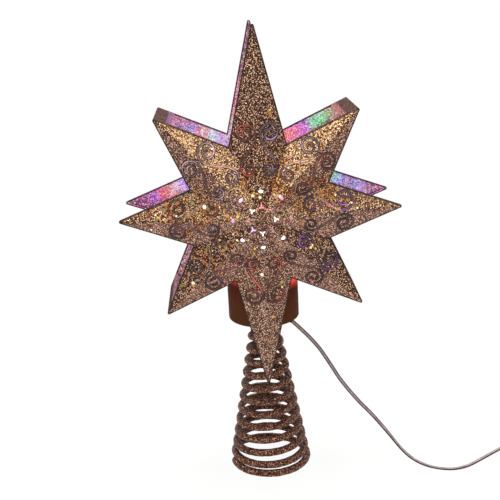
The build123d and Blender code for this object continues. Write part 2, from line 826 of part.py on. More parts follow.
# Grommet: a plug through the cover, a flange under it and a boot that leans along the lead
route = [Vector(*point) for point in cord_route]
exit_run = (route[1] - route[0]).normalized()
with BuildPart() as cord_grommet:
    with BuildSketch(Plane.XY.offset(housing_bottom - grommet_flange)):
        with Locations(around(grommet_reach, 0)):
            Circle(grommet_flange_radius)
    extrude(amount=grommet_flange)
    with BuildSketch(Plane.XY.offset(housing_bottom)):
        with Locations(around(grommet_reach, 0)):
            Circle(grommet_radius)
    extrude(amount=cover_thickness)
    with BuildSketch(Plane.XY.offset(cover_top)):
        with Locations(around(grommet_reach, 0)):
            Circle(cord_diameter / 2)
    extrude(amount=standoff_height)
    with BuildSketch(Plane.XY.offset(housing_bottom - grommet_flange)):
        with Locations(around(grommet_reach, 0)):
            Circle(grommet_radius)
    with BuildSketch(Plane(origin=route[0], x_dir=(0, 1, 0), z_dir=exit_run)):
        Circle(boot_tip_radius)
    loft()
save(cord_grommet.part, "cord_grommet")


def cord_tube(points, diameter, name):
    """A tube along straight runs whose corners are as round as the runs allow."""
    radii = []
    for before, corner, after in zip(points, points[1:], points[2:]):
        turn = (corner - before).get_angle(after - corner)
        shorter = min((corner - before).length, (after - corner).length)
        radii.append(corner_share * shorter / tan(radians(turn / 2)))
    with BuildPart() as tube:
        with BuildLine() as line:
            FilletPolyline(*points, radius=radii)
        path = line.wire()
        with BuildSketch(Plane(origin=path @ 0, z_dir=path % 0)):
            Circle(diameter / 2)
        sweep()
    print(name, "radii", [round(radius, 1) for radius in radii], "length", round(path.length, 1),
          "volume", round(tube.part.volume), "section times length",
          round(pi * diameter ** 2 / 4 * path.length))
    return tube.part, path.length


# Coil: the put-away length winds in and out at a steady rate and climbs a layer where it turns back
coil_bottom = tie_thickness + tie_slack + cord_diameter / 2
leg_turns = coil_turns / coil_layers
coil_outer = coil_mean_radius + coil_step * leg_turns / 2


def coil_reach(turn):
    """Triangle wave between the outer and the inner turn."""
    share = turn / leg_turns % 2
    return coil_outer - coil_step * leg_turns * min(share, 2 - share)


def coil_height(turn):
    """One smooth climb of a layer in the half turn about each turning back."""
    climbed = 0.0
    for number in range(1, coil_layers):
        share = min(1.0, max(0.0, (turn - number * leg_turns) * 2 + 0.5))
        climbed += (1 - cos(pi * share)) / 2
    return coil_bottom + coil_step * climbed


coil_quarters = round(4 * coil_turns)
coil_reaches = [coil_reach(number / 4) for number in range(coil_quarters + 1)]
coil_heights = [coil_height(number / 4) for number in range(coil_quarters + 1)]
coil_stations = wound_stations(coil_reaches, coil_heights, coil_start_angle, coil_centre)
coil_stations[0] = (coil_stations[0][0], Vector(1, 0, 0))
coil_stations[-1] = (coil_stations[-1][0], Vector(0, 1, 0))
cord_coil, coil_line = wound_tube(coil_stations, cord_diameter)
print("coil turns", coil_turns, "least gap", round(least_gap(coil_line, cord_diameter), 2),
      "length", round(coil_line.length, 1), "volume", round(cord_coil.volume), "section times length",
      round(pi * cord_diameter ** 2 / 4 * coil_line.length))
save(cord_coil, "cord_coil")

coil_start = coil_line @ 0
lead_points = route + [coil_start - Vector(lead_in), coil_start]
cord_lead, lead_length = cord_tube(lead_points, cord_diameter, "cord_lead")
save(cord_lead, "cord_lead")

plug_axis_height = plug_height / 2
plug_start = Vector(*plug_place, plug_axis_height)
coil_end = coil_line @ 1
tail_points = [coil_end, coil_end + Vector(0, tail_out), Vector(*tail_middle),
               plug_start - Vector(0, plug_run_in), plug_start]
cord_tail, tail_length = cord_tube(tail_points, cord_diameter, "cord_tail")
save(cord_tail, "cord_tail")
print("whole lead", round(lead_length + coil_line.length + tail_length, 1))

tie_middle = Vector(coil_centre[0] - coil_mean_radius, coil_centre[1],
                    coil_bottom + coil_step * (coil_layers - 1) / 2)
tie_inner_width = coil_step * leg_turns + cord_diameter + 2 * tie_side_slack
tie_inner_height = coil_step * (coil_layers - 1) + cord_diameter + 2 * tie_slack
with BuildPart() as cord_tie:
    with BuildSketch(Plane(origin=tie_middle, x_dir=(1, 0, 0), z_dir=(0, -1, 0))):
        Rectangle(tie_inner_width + 2 * tie_thickness, tie_inner_height + 2 * tie_thickness)
        Rectangle(tie_inner_width, tie_inner_height, mode=Mode.SUBTRACT)
    extrude(amount=tie_width / 2, both=True)
    fillet(cord_tie.edges().filter_by(Axis.Y), radius=tie_thickness / 2)
save(cord_tie.part, "cord_tie")

# Plug, lying along the tail's last run
plug_run = (plug_start - tail_points[-2]).normalized()
plug_side = Vector(plug_run.Y, -plug_run.X)
plug_plane = Plane(origin=plug_start, x_dir=plug_side, z_dir=Vector(plug_run.X, plug_run.Y))
with BuildPart() as plug_body:
    with BuildSketch(plug_plane):
        Circle(boot_tip_radius)
    with BuildSketch(plug_plane.offset(relief_length)):
        RectangleRounded(relief_width, relief_height, radius=plug_round)
    loft()
    with BuildSketch(plug_plane.offset(relief_length)):
        RectangleRounded(plug_width, plug_height, radius=plug_round)
    extrude(amount=plug_length)
    fillet(plug_body.faces().sort_by(Axis(plug_plane.origin, plug_plane.z_dir))[-1].outer_wire().edges(),
           radius=plug_round / 2)
    with BuildSketch(plug_plane.offset(relief_length + plug_length)):
        Rectangle(shell_width + 2 * running_fit, shell_height + 2 * running_fit)
    extrude(amount=-shell_seat, mode=Mode.SUBTRACT)
save(plug_body.part, "plug_body")

plug_face = plug_plane.offset(relief_length + plug_length)
shell_back = plug_face.offset(-shell_seat)
shell_inside_width = shell_width - 2 * shell_sheet
shell_inside_height = shell_height - 2 * shell_sheet
with BuildPart() as plug_shell:
    with BuildSketch(shell_back):
        Rectangle(shell_width, shell_height)
        Rectangle(shell_inside_width, shell_inside_height, mode=Mode.SUBTRACT)
    extrude(amount=shell_seat + shell_length)
    with BuildSketch(plug_face.offset(shell_length / 2)):
        with Locations((-shell_width / 4, 0), (shell_width / 4, 0)):
            Rectangle(shell_width * window_share, shell_height)
    extrude(amount=shell_width * window_share, mode=Mode.SUBTRACT)
save(plug_shell.part, "plug_shell")

tongue_middle = shell_inside_height / 2 - tongue_height / 2
with BuildPart() as plug_tongue:
    with BuildSketch(shell_back):
        with Locations((0, tongue_middle)):
            Rectangle(shell_inside_width - 2 * fit, tongue_height - fit)
    extrude(amount=shell_seat + shell_length - tongue_setback)
save(plug_tongue.part, "plug_tongue")

contact_under = tongue_middle - (tongue_height - fit) / 2
with BuildPart() as plug_contacts:
    with BuildSketch(plug_face.offset(shell_length - tongue_setback - contact_length)):
        with Locations((0, contact_under)):
            with GridLocations(contact_pitch, contact_height, contact_count, 1):
                Rectangle(contact_width, contact_height, align=(Align.CENTER, Align.MAX))
    extrude(amount=contact_length)
save(plug_contacts.part, "plug_contacts")
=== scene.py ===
# %% [markdown]
# # A lit christmas tree topper star
#
# The topper is a pair of faceted star shells with a glitter coat, joined at their slanting tips. A round
# housing with a turning light dome stands between them, a conical spring foot carries it all, and a thin flat
# lead runs out to the right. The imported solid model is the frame: every piece below is placed in its metres.

import bpy
import numpy as np
from mathutils import Matrix, Vector


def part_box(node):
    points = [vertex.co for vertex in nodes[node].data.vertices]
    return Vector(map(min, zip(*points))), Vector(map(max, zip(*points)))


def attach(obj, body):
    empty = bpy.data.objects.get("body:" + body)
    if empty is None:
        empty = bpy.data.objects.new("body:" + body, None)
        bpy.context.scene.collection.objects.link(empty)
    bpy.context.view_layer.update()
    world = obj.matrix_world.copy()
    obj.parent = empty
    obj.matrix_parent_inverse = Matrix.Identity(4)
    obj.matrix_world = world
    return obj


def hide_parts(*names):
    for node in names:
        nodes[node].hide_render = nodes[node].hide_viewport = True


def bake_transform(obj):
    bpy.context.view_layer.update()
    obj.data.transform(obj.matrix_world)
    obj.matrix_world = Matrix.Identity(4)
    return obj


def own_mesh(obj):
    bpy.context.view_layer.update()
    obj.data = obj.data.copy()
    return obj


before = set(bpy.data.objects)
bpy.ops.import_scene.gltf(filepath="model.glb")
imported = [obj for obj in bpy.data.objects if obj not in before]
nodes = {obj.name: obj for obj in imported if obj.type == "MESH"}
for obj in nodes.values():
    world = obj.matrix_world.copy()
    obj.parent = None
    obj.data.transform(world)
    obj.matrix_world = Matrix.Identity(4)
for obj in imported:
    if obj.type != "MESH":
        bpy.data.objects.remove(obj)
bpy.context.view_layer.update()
mm = 0.001
random = np.random.default_rng(24)

# %% [markdown]
# ## Camera
#
# The photograph looks slightly down on the star from the front and is turned a little about its own axis. The
# camera is therefore built from three directions: back towards the lens, right and up, with the turn applied
# to the last two. Written as columns they are the camera's matrix.

# %% Camera
view_azimuth, view_elevation, view_turn = np.radians([-1.595, 16.903, -2.928])
view_target = np.array([-7.212, 0.0, 153.792]) * mm
view_distance = 599.03 * mm
focal_pixels = 908.07
picture_pixels = 500
sensor_width = 36.0

back = np.array([np.sin(view_azimuth) * np.cos(view_elevation),
                 -np.cos(view_azimuth) * np.cos(view_elevation),
                 np.sin(view_elevation)])
level_right = np.array([np.cos(view_azimuth), np.sin(view_azimuth), 0.0])
level_up = np.cross(back, level_right)
right = np.cos(view_turn) * level_right + np.sin(view_turn) * level_up
up = np.cos(view_turn) * level_up - np.sin(view_turn) * level_right
lens_place = view_target + view_distance * back

camera_data = bpy.data.cameras.new("photo_view")
camera_data.sensor_width = sensor_width
camera_data.lens = focal_pixels / picture_pixels * sensor_width
camera_data.clip_start = 10 * mm
camera = bpy.data.objects.new("photo_view", camera_data)
columns = np.eye(4)
columns[:3] = np.column_stack([right, up, back, lens_place])
camera.matrix_world = Matrix(columns.tolist())
bpy.context.scene.collection.objects.link(camera)
bpy.context.scene.camera = camera
print("camera at", np.round(lens_place, 3), "lens", round(camera_data.lens, 2))

# %% [markdown]
# ## Mesh helpers
#
# Almost every piece is a grid: rows of points, each row closed into a ring, whose neighbours make four-sided
# faces. One helper counts out those faces and another turns points and faces into a mesh. A third carries a
# flat profile along a path with a chosen direction kept upright, which is how the spring, the lead and the
# scroll lines are made.

# %% Mesh helpers
def unit(vectors):
    """Vectors divided by their own lengths."""
    return vectors / np.linalg.norm(vectors, axis=-1, keepdims=True)


def ring_faces(rows, columns):
    """Corner numbers of the quads between neighbouring rows of a grid, each row closed into a ring."""
    row, column = np.meshgrid(np.arange(rows - 1), np.arange(columns), indexing="ij")
    next_row, next_column = row + 1, (column + 1) % columns
    quads = [row * columns + next_column, next_row * columns + next_column,
             next_row * columns + column, row * columns + column]
    return np.stack(quads, axis=-1).reshape(-1, 4)


def tube_faces(rows, columns):
    """Quads of a closed tube and one many-sided face at each end."""
    ends = [np.arange(columns)[None], (np.arange(columns) + (rows - 1) * columns)[None, ::-1]]
    return [ring_faces(rows, columns), *ends]


def piece_from(name, points, faces, smooth=True):
    """A new object at the origin from points (metres) and a list of face arrays."""
    mesh = bpy.data.meshes.new(name)
    mesh.from_pydata(np.asarray(points).reshape(-1, 3).tolist(), [],
                     [face for group in faces for face in np.asarray(group).tolist()])
    mesh.polygons.foreach_set("use_smooth", np.full(len(mesh.polygons), smooth))
    mesh.update()
    piece = bpy.data.objects.new(name, mesh)
    bpy.context.scene.collection.objects.link(piece)
    return piece


def carried(path, profile, upright):
    """A profile carried along a path: path point + across * first coordinate + upright * second, where across
    is square to the path and to the upright direction."""
    onward = unit(np.gradient(path, axis=0))
    across = unit(np.cross(onward, upright))
    lift = np.cross(across, onward)
    if profile.ndim == 2:
        profile = np.broadcast_to(profile, (len(path),) + profile.shape)
    return path[:, None, :] + across[:, None, :] * profile[:, :, :1] + lift[:, None, :] * profile[:, :, 1:]


def store_tints(piece, name, tints):
    """Keeps a linear colour on every point of a piece, under a name that a material can ask for."""
    shade = piece.data.attributes.new(name, "FLOAT_COLOR", "POINT")
    shade.data.foreach_set("color", tints.astype(np.float32).ravel())


# %% [markdown]
# ## Node helpers
#
# A material is a small network. These helpers place a node, fill its sockets with values or with links, and
# make the node groups that several finishes share. The short ones stand for the nodes that are used most: the
# place of a point in its piece, noise, random cells, a colour's channels and a colour kept on the points.

# %% Node helpers
half = (0.5, 0.5, 0.5)
unlit = (0, 0, 0, 1)


def wire(tree, value, socket):
    """Links a socket to the given one, or sets its value."""
    if isinstance(value, bpy.types.NodeSocket):
        tree.links.new(value, socket)
    else:
        socket.default_value = value


def fill(tree, node, **inputs):
    """Fills or links a node's inputs by name, with an underscore for each space."""
    for key, value in inputs.items():
        wire(tree, value, node.inputs[key.replace("_", " ")])


def put(tree, kind, settings=None, **inputs):
    """A new node with its settings and its inputs."""
    node = tree.nodes.new(kind)
    for key, value in (settings or {}).items():
        setattr(node, key, value)
    fill(tree, node, **inputs)
    return node


# %% Sums and mixtures
def worked(tree, kind, operation, values):
    """The outputs of a Math or Vector Math node, with its values in order."""
    node = put(tree, kind, {"operation": operation})
    for value, socket in zip(values, node.inputs):
        wire(tree, value, socket)
    return node.outputs


def number(tree, operation, *values):
    """Result of a Math node."""
    return worked(tree, "ShaderNodeMath", operation, values)[0]


def vector(tree, operation, *values):
    """Result of a Vector Math node, a number for lengths and products and else a vector."""
    outputs = worked(tree, "ShaderNodeVectorMath", operation, values)
    return outputs["Value"] if operation in ("DISTANCE", "DOT_PRODUCT", "LENGTH") else outputs[0]


def scaled(tree, value, low, high, to_low=0.0, to_high=1.0):
    """A value moved from one range to another along a smooth step."""
    node = put(tree, "ShaderNodeMapRange", {"interpolation_type": "SMOOTHSTEP"}, Value=value, From_Min=low,
               From_Max=high, To_Min=to_low, To_Max=to_high)
    return node.outputs["Result"]


def blended(tree, share, first, second, kind="MIX"):
    """Two colours mixed by a share."""
    node = put(tree, "ShaderNodeMix", {"data_type": "RGBA", "blend_type": kind})
    wire(tree, share, node.inputs[0])
    wire(tree, first, node.inputs[6])
    wire(tree, second, node.inputs[7])
    return node.outputs[2]


def dimmed(tree, shown, share):
    """A colour or vector times a number."""
    node = put(tree, "ShaderNodeVectorMath", {"operation": "SCALE"}, Scale=share)
    wire(tree, shown, node.inputs[0])
    return node.outputs[0]


# %% Textures and colours
def object_place(tree):
    """Place of a point in its own piece, which every texture here is tied to."""
    return put(tree, "ShaderNodeTexCoord").outputs["Object"]


def noise(tree, place, scale, detail):
    """Grey value and colour of a noise."""
    return put(tree, "ShaderNodeTexNoise", Vector=place, Scale=scale, Detail=detail).outputs


def cells(tree, place, scale):
    """Random colour of each cell of a Voronoi texture, and distance from its point."""
    return put(tree, "ShaderNodeTexVoronoi", Vector=place, Scale=scale).outputs


def channels(tree, shown):
    """Red, green and blue of a colour."""
    return put(tree, "ShaderNodeSeparateColor", Color=shown).outputs


def stored(tree, name):
    """Colour that the points keep under a name."""
    return put(tree, "ShaderNodeAttribute", {"attribute_name": name}).outputs["Color"]


def colour(red, green, blue):
    """A colour given as it looks on screen, 0 to 255, made linear for the nodes."""
    shown = np.array([red, green, blue]) / 255
    linear = np.where(shown <= 0.04045, shown / 12.92, ((shown + 0.055) / 1.055) ** 2.4)
    return (*linear.tolist(), 1.0)


# %% Groups and materials
def new_group(name, inputs, outputs):
    """An empty node group with named sockets, as (kind, name, default) and (kind, name)."""
    tree = bpy.data.node_groups.new(name, "ShaderNodeTree")
    for kind, label, default in inputs:
        socket = tree.interface.new_socket(label, in_out="INPUT", socket_type="NodeSocket" + kind)
        socket.default_value = default
    for kind, label in outputs:
        tree.interface.new_socket(label, in_out="OUTPUT", socket_type="NodeSocket" + kind)
    return tree, tree.nodes.new("NodeGroupInput").outputs, tree.nodes.new("NodeGroupOutput").inputs


def use_group(tree, group, **inputs):
    """The outputs of a group placed in a material with its own values."""
    return put(tree, "ShaderNodeGroup", {"node_tree": group}, **inputs).outputs


def new_material(name, **values):
    """A material, its tree and its Principled shader with the given plain values."""
    material = bpy.data.materials.new(name)
    material.use_nodes = True
    tree = material.node_tree
    shader = tree.nodes["Principled BSDF"]
    fill(tree, shader, **values)
    return material, tree, shader


def dress(piece, *materials):
    """Gives a piece its materials and keeps which face takes which."""
    chosen = np.empty(len(piece.data.polygons), np.int32)
    piece.data.polygons.foreach_get("material_index", chosen)
    piece.data.materials.clear()
    for material in materials:
        piece.data.materials.append(material)
    piece.data.polygons.foreach_set("material_index", chosen)


# %% [markdown]
# ## Glitter
#
# The shells and the spring are sprayed with glitter: countless flakes under a millimetre across, each of its
# own brightness and lying at its own tilt. A Voronoi texture gives exactly such cells. Its random cell colour
# sets the flake's tone and tips the surface normal, so each flake catches the light by itself. A finer one
# breaks the tone up. The few flakes that flash are painted glints: the brightest tones, and round dots about
# the cell points of a coarser one, take the Bright colour.

# %% Glitter
dust_fineness, dot_coarseness = 1.9, 0.55
flake_weight, dust_weight = 0.72, 0.28
dark_tone, middle_tone = 0.18, 0.52
sparkle_step, dot_step = 0.12, 0.1
smoothest, roughest = 0.22, 0.6

glitter, given, out = new_group(
    "glitter_coat",
    [("Float", "Grain", 800.0), ("Float", "Tilt", 0.9), ("Float", "Sparkle", 0.7), ("Float", "Dots", 0.3),
     ("Color", "Dark", (0, 0, 0, 1)), ("Color", "Middle", (*half, 1)), ("Color", "Bright", (1, 1, 1, 1))],
    [("Color", "Color"), ("Float", "Roughness"), ("Vector", "Normal"), ("Float", "Tone")])
place = object_place(glitter)
flakes = cells(glitter, place, given["Grain"])["Color"]
dust = cells(glitter, place, number(glitter, "MULTIPLY", given["Grain"], dust_fineness))["Color"]
from_dot = cells(glitter, place, number(glitter, "MULTIPLY", given["Grain"], dot_coarseness))["Distance"]
flake_parts = channels(glitter, flakes)
tone = number(glitter, "ADD", number(glitter, "MULTIPLY", flake_parts[0], flake_weight),
              number(glitter, "MULTIPLY", channels(glitter, dust)[0], dust_weight))
coat = blended(glitter, scaled(glitter, tone, dark_tone, middle_tone), given["Dark"], given["Middle"])
# Painted glints: the brightest flakes and the dots about the coarser cells take the Bright colour.
full_sparkle = number(glitter, "ADD", given["Sparkle"], sparkle_step)
coat = blended(glitter, scaled(glitter, tone, given["Sparkle"], full_sparkle), coat, given["Bright"])
full_dot = number(glitter, "SUBTRACT", given["Dots"], dot_step)
coat = blended(glitter, scaled(glitter, from_dot, given["Dots"], full_dot), coat, given["Bright"])
tip = dimmed(glitter, vector(glitter, "SUBTRACT", flakes, half), given["Tilt"])
tip = vector(glitter, "ADD", tip, put(glitter, "ShaderNodeNewGeometry").outputs["Normal"])
wire(glitter, coat, out["Color"])
wire(glitter, scaled(glitter, flake_parts[1], 0.0, 1.0, smoothest, roughest), out["Roughness"])
wire(glitter, vector(glitter, "NORMALIZE", tip), out["Normal"])
wire(glitter, tone, out["Tone"])
print("glitter group with", len(glitter.nodes), "nodes")


def coat_of(dark, middle, bright, **values):
    """Settings of the glitter group, with its three colours as they look on screen."""
    return dict(values, Dark=colour(*dark), Middle=colour(*middle), Bright=colour(*bright))


# %% [markdown]
# ## Light pools
#
# Coloured lamps under the turning dome throw soft patches of red, green, blue and their mixtures on the
# inside of the shells. A smooth Voronoi texture on a slightly wavy place picks each patch's tint from a ramp.
# Along the seven edges where the inside shows, the patches follow each other from the point to the notch, so
# they are told as rows of tints: each is a round pool that fades towards its rim. Fine flecks break it all
# up. Sizes of the star are in millimetres: reaches from its middle, and depths from its middle plane.

# %% Star sizes
shell_low, shell_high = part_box("front_shell")
star_middle = (shell_low.z + shell_high.z) / 2
star_centre = np.array([0.0, 0.0, star_middle])
in_plane = (1.0, 0.0, 1.0)
arm_count = 8
arm_step = 360 / arm_count
long_reach, short_reach = 118.6, 90.1
ridge_reach = np.where(np.arange(arm_count) % 4 == 0, long_reach, short_reach)
notch_reach, plate_reach = 46.8, 81.0
edge_depth, relief, rim_depth = 26.0, 16.0, 2.0
print("star middle at", round(star_middle, 4), "reaches", ridge_reach)

# %% Light tints
light_tints = {
    "umber": (78, 46, 44), "rust": (176, 74, 60), "dusk": (150, 100, 112), "plum": (158, 66, 122),
    "rose": (206, 116, 158), "mauve": (174, 124, 176), "pink": (240, 108, 172), "coral": (252, 126, 142),
    "red": (232, 76, 60), "lilac": (212, 172, 236), "violet": (130, 112, 244), "blue": (150, 148, 222),
    "sage": (150, 150, 120), "mint": (132, 230, 166), "ice": (202, 240, 244), "white": (255, 250, 255),
    "blush": (224, 184, 200), "orchid": (184, 100, 222), "petal": (218, 128, 150),
}
edge_tints = {
    (7, -1): "rose rose rose mauve blue coral ice lilac",
    (1, 1): "mauve red sage mint mint orchid pink coral",
    (6, -1): "dusk plum plum orchid red blush lilac violet",
    (2, 1): "rose plum mauve blue mauve violet mint blush",
    (0, 1): "umber dusk dusk dusk dusk dusk dusk petal petal petal blush blush",
    (5, -1): "umber umber dusk rust dusk dusk dusk dusk petal petal",
    (3, 1): "umber umber umber umber umber dusk",
}


def tints_of(words):
    """Linear colours of tints told by name, one row each."""
    return np.array([colour(*light_tints[word]) for word in words.split()])


def star_spot(angle, reach):
    """A point of the star's own plane, from degrees about its middle and millimetres from it."""
    angle = np.radians(angle)
    return np.array([reach * mm * np.cos(angle), 0.0, star_middle + reach * mm * np.sin(angle)])


print(len(light_tints), "tints, told along", len(edge_tints), "edges")

# %% Light pools
warp_scale, warp_reach = 150.0, 16 * mm
spot_scale, spot_blur = 62.0, 0.35
spot_core, spot_rim, rim_share = 0.1, 0.62, 0.42
first_stop, last_stop = 0.08, 0.92
pool_size, pool_inset = 11.5 * mm, 5.0 * mm
first_pool, last_pool = 0.1, 0.98
fleck_scale, fleck_grey, fleck_share = 520.0, 0.55, 0.55
pools, given, out = new_group("light_pools", [], [("Color", "Color")])
flat_place = vector(pools, "MULTIPLY", object_place(pools), in_plane)
warp = vector(pools, "SUBTRACT", noise(pools, flat_place, warp_scale, 2.0)["Color"], half)
wavy_place = vector(pools, "ADD", flat_place,
                    vector(pools, "MULTIPLY", warp, (warp_reach, 0.0, warp_reach)))
spots = put(pools, "ShaderNodeTexVoronoi", {"feature": "SMOOTH_F1"}, Vector=wavy_place, Scale=spot_scale,
            Smoothness=spot_blur).outputs
ramp = put(pools, "ShaderNodeValToRGB", Fac=channels(pools, spots["Color"])[0])
stops = ramp.color_ramp.elements
ramp_tints = tints_of("plum rose coral mauve pink violet lilac rose")
while len(stops) < len(ramp_tints):
    stops.new(0.5)
for stop, position, tint in zip(stops, np.linspace(first_stop, last_stop, len(stops)), ramp_tints):
    stop.position = position
    stop.color = tint
fading = scaled(pools, spots["Distance"], spot_core, spot_rim, 1.0, rim_share)
light = dimmed(pools, ramp.outputs["Color"], fading)
for (arm, hand), words in edge_tints.items():
    tints = tints_of(words)
    point_angle = 90 - arm_step * arm
    point = star_spot(point_angle, ridge_reach[arm])
    notch = star_spot(point_angle + arm_step / 2 * hand, notch_reach)
    inward = unit(np.cross(notch - point, [0.0, hand, 0.0])) * pool_inset
    for share, tint in zip(np.linspace(first_pool, last_pool, len(tints)), tints):
        away = vector(pools, "DISTANCE", wavy_place, tuple(point + (notch - point) * share + inward))
        light = blended(pools, scaled(pools, away, pool_size, 0.0), light, tuple(tint))
flecks = cells(pools, flat_place, fleck_scale)["Color"]
flecks = blended(pools, fleck_grey, flecks, channels(pools, flecks)[0])
wire(pools, blended(pools, fleck_share, light, flecks, "OVERLAY"), out["Color"])
print("light pools", sum(len(words.split()) for words in edge_tints.values()))

# %% [markdown]
# The shells have a dark line along their outline. A second group tells how far a place lies inside it. The
# four quarters of the star are alike, so the place is first folded into one of them. There the outline is
# four straight edges: the least distance counts on the slanting arm, and the greatest where arms meet in a
# notch.

# %% Star outline
outline, given, out = new_group("star_outline", [], [("Float", "Inset")])
quarter = vector(outline, "ABSOLUTE", vector(outline, "SUBTRACT", object_place(outline), tuple(star_centre)))


def inset_from(first, second):
    """Distance from the straight edge between two corners, positive inside the star."""
    start, onward = star_spot(*first) - star_centre, star_spot(*second) - star_spot(*first)
    outward = unit(np.array([onward[2], 0.0, -onward[0]]))
    outward = outward * np.sign(outward @ start)
    reached = vector(outline, "DOT_PRODUCT", quarter, tuple(outward))
    return number(outline, "SUBTRACT", float(outward @ start), reached)


top_tip, slant_tip, side_tip = (90.0, long_reach), (45.0, short_reach), (0.0, short_reach)
upper_notch, lower_notch = (67.5, notch_reach), (22.5, notch_reach)
inset = number(outline, "MINIMUM", inset_from(upper_notch, slant_tip), inset_from(slant_tip, lower_notch))
inset = number(outline, "MAXIMUM", inset, inset_from(top_tip, upper_notch))
wire(outline, number(outline, "MAXIMUM", inset, inset_from(lower_notch, side_tip)), out["Inset"])
print("outline group with", len(outline.nodes), "nodes")

# %% [markdown]
# ## Flat lead
#
# The lead is two thin cores side by side in one clear sheath. It leaves the housing's underside, hangs to the
# surface, and lies there in a loose bend. The rest of its length is put away as a tied coil, just out of the
# picture, with the plug beside it. Its line is one smooth NURBS spline through listed points and through
# the coil's turns, which a formula gives. A figure-of-eight profile is then carried along that line.

# %% Lead line
lead_width = 2.6 * mm
lead_thickness = 1.5 * mm
hanging_points = np.array([
    (18.8, 0.0, 101.9), (33.0, -0.6, 87.6), (43.9, -1.6, 69.3), (50.5, -2.2, 57.0), (62.8, -3.2, 40.4),
    (71.4, -4.2, 31.1), (82.3, -5.6, 16.8), (94.0, -9.4, 0.8), (103.2, -26.4, 0.8), (117.8, -34.0, 0.8),
    (130.2, -32.4, 0.8), (142.4, -24.2, 0.8), (160.9, -10.6, 0.8), (172.4, -3.7, 1.2), (184.6, 0.05, 2.3),
])
coil_centre = np.array([198.0, 20.0])
coil_mean, coil_step, coil_turns, coil_layers, coil_bottom = 15.2, 3.1, 12.25, 4, 2.3
tail_points = np.array([(217.95, 31.4, 11.6), (217.2, 40.5, 7.2), (216.2, 48.0, 4.0), (216.2, 56.0, 4.0)])


def coil_points(points_per_turn=16):
    """Turns that wind in and out at a steady rate and climb a layer in the half turn about each turning
    back."""
    turn = np.linspace(0.0, coil_turns, round(coil_turns * points_per_turn) + 1)
    leg = coil_turns / coil_layers
    share = turn / leg % 2
    reach = coil_mean + coil_step * leg * (0.5 - np.minimum(share, 2 - share))
    backs = np.arange(1, coil_layers) * leg
    climb = np.clip((turn[:, None] - backs) * 2 + 0.5, 0, 1)
    height = coil_bottom + coil_step * ((1 - np.cos(np.pi * climb)) / 2).sum(1)
    angle = 2 * np.pi * turn - np.pi / 2
    flat = coil_centre + reach[:, None] * np.stack([np.cos(angle), np.sin(angle)], 1)
    return np.column_stack([flat, height])


lead_points = np.vstack([hanging_points, coil_points(), tail_points]) * mm
lead_curve = bpy.data.curves.new("lead_line", "CURVE")
lead_curve.dimensions = "3D"
lead_curve.resolution_u = 8
spline = lead_curve.splines.new("NURBS")
spline.points.add(len(lead_points) - 1)
spline.points.foreach_set("co", np.column_stack([lead_points, np.ones(len(lead_points))]).ravel())
spline.order_u = 3
spline.use_endpoint_u = True
line_object = bpy.data.objects.new("lead_line", lead_curve)
bpy.context.scene.collection.objects.link(line_object)
bpy.context.view_layer.update()
line_mesh = bpy.data.meshes.new_from_object(line_object)
lead_line = np.empty(len(line_mesh.vertices) * 3)
line_mesh.vertices.foreach_get("co", lead_line)
lead_line = lead_line.reshape(-1, 3)
bpy.data.objects.remove(line_object)
lead_length = np.linalg.norm(np.diff(lead_line, axis=0), axis=1).sum()
print("lead length", round(lead_length, 4), "points", len(lead_line))

# %% Lead
lead_sides = 20
groove_depth, groove_power = 0.34, 6
turning_height = 40 * mm
lying_up, hanging_lean = np.array([0, 0, 1.0]), np.array([0, -1.0, -0.7])

around_lead = np.linspace(0, 2 * np.pi, lead_sides, endpoint=False)
waist = 1 - groove_depth * np.abs(np.sin(around_lead)) ** groove_power
lead_profile = np.column_stack([np.cos(around_lead) * lead_width / 2,
                                np.sin(around_lead) * lead_thickness / 2 * waist])
hanging = np.clip(lead_line[:, 2] / turning_height, 0, 1)[:, None]
lead_skin = carried(lead_line, lead_profile, lying_up + hanging * hanging_lean)
lead = piece_from("flat_lead", lead_skin, tube_faces(len(lead_line), lead_sides))
rim = lead.data.attributes.new("rim", "FLOAT", "POINT")
rim.data.foreach_set("value", np.tile(np.abs(np.cos(around_lead)), len(lead_line)).astype(np.float32))
print("lead faces", len(lead.data.polygons))

# %% [markdown]
# The sheath is clear and slightly grey, so it shows a dull mauve with a soft gloss. Painted shade darkens
# its two rims and the groove between the cores. A value stored on the points tells how near the rim they are.

# %% Lead finish
lead_finish, tree, shader = new_material("clear_sheath", Roughness=0.4, Specular_IOR_Level=0.25)
cloud = noise(tree, object_place(tree), 260.0, 3.0)[0]
pale = blended(tree, scaled(tree, cloud, 0.3, 0.7), colour(128, 114, 120), colour(158, 146, 152))
near_rim = put(tree, "ShaderNodeAttribute", {"attribute_name": "rim"}).outputs["Fac"]
# Painted shade: dark along both rims, and a little in the groove between the cores.
groove = number(tree, "MULTIPLY", scaled(tree, near_rim, 0.16, 0.02), 0.2)
dark = number(tree, "MAXIMUM", scaled(tree, near_rim, 0.3, 0.66), groove)
fill(tree, shader, Base_Color=blended(tree, dark, pale, colour(44, 33, 40)))
dress(lead, lead_finish)
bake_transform(lead)
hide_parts("cord_lead", "cord_coil", "cord_tail")
print("lead finish with", len(tree.nodes), "nodes")

# %% [markdown]
# ## Spring foot
#
# The foot is one thick wire wound as a cone: a flat turn below with the next one lying on it in front, open
# turns between, and a flat half turn under the housing. Its middle line is a formula of the turn number, and
# a round profile whose radius wavers by a few tenths of a millimetre gives the crusted glitter coat. The
# underside is flat where it stands.

# %% Spring wire
wire_radius = 2.5 * mm
foot_reach, crown_reach, wire_start = 25.6, 7.2, 185.0
spring_low, spring_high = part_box("spring")
turn_knots = [0.0, 0.75, 1.0, 1.25, 11.5, 12.0, 12.5]
height_knots = np.array([2.0, 2.0, 7.8, 7.8, 97.5, 104.7, 104.7]) * mm
steps_per_turn, wire_sides, soft_steps = 84, 16, 17
crust_spread, crust_least, crust_most = 0.028, 0.93, 1.06
end_tapers = (0.55, 0.9)

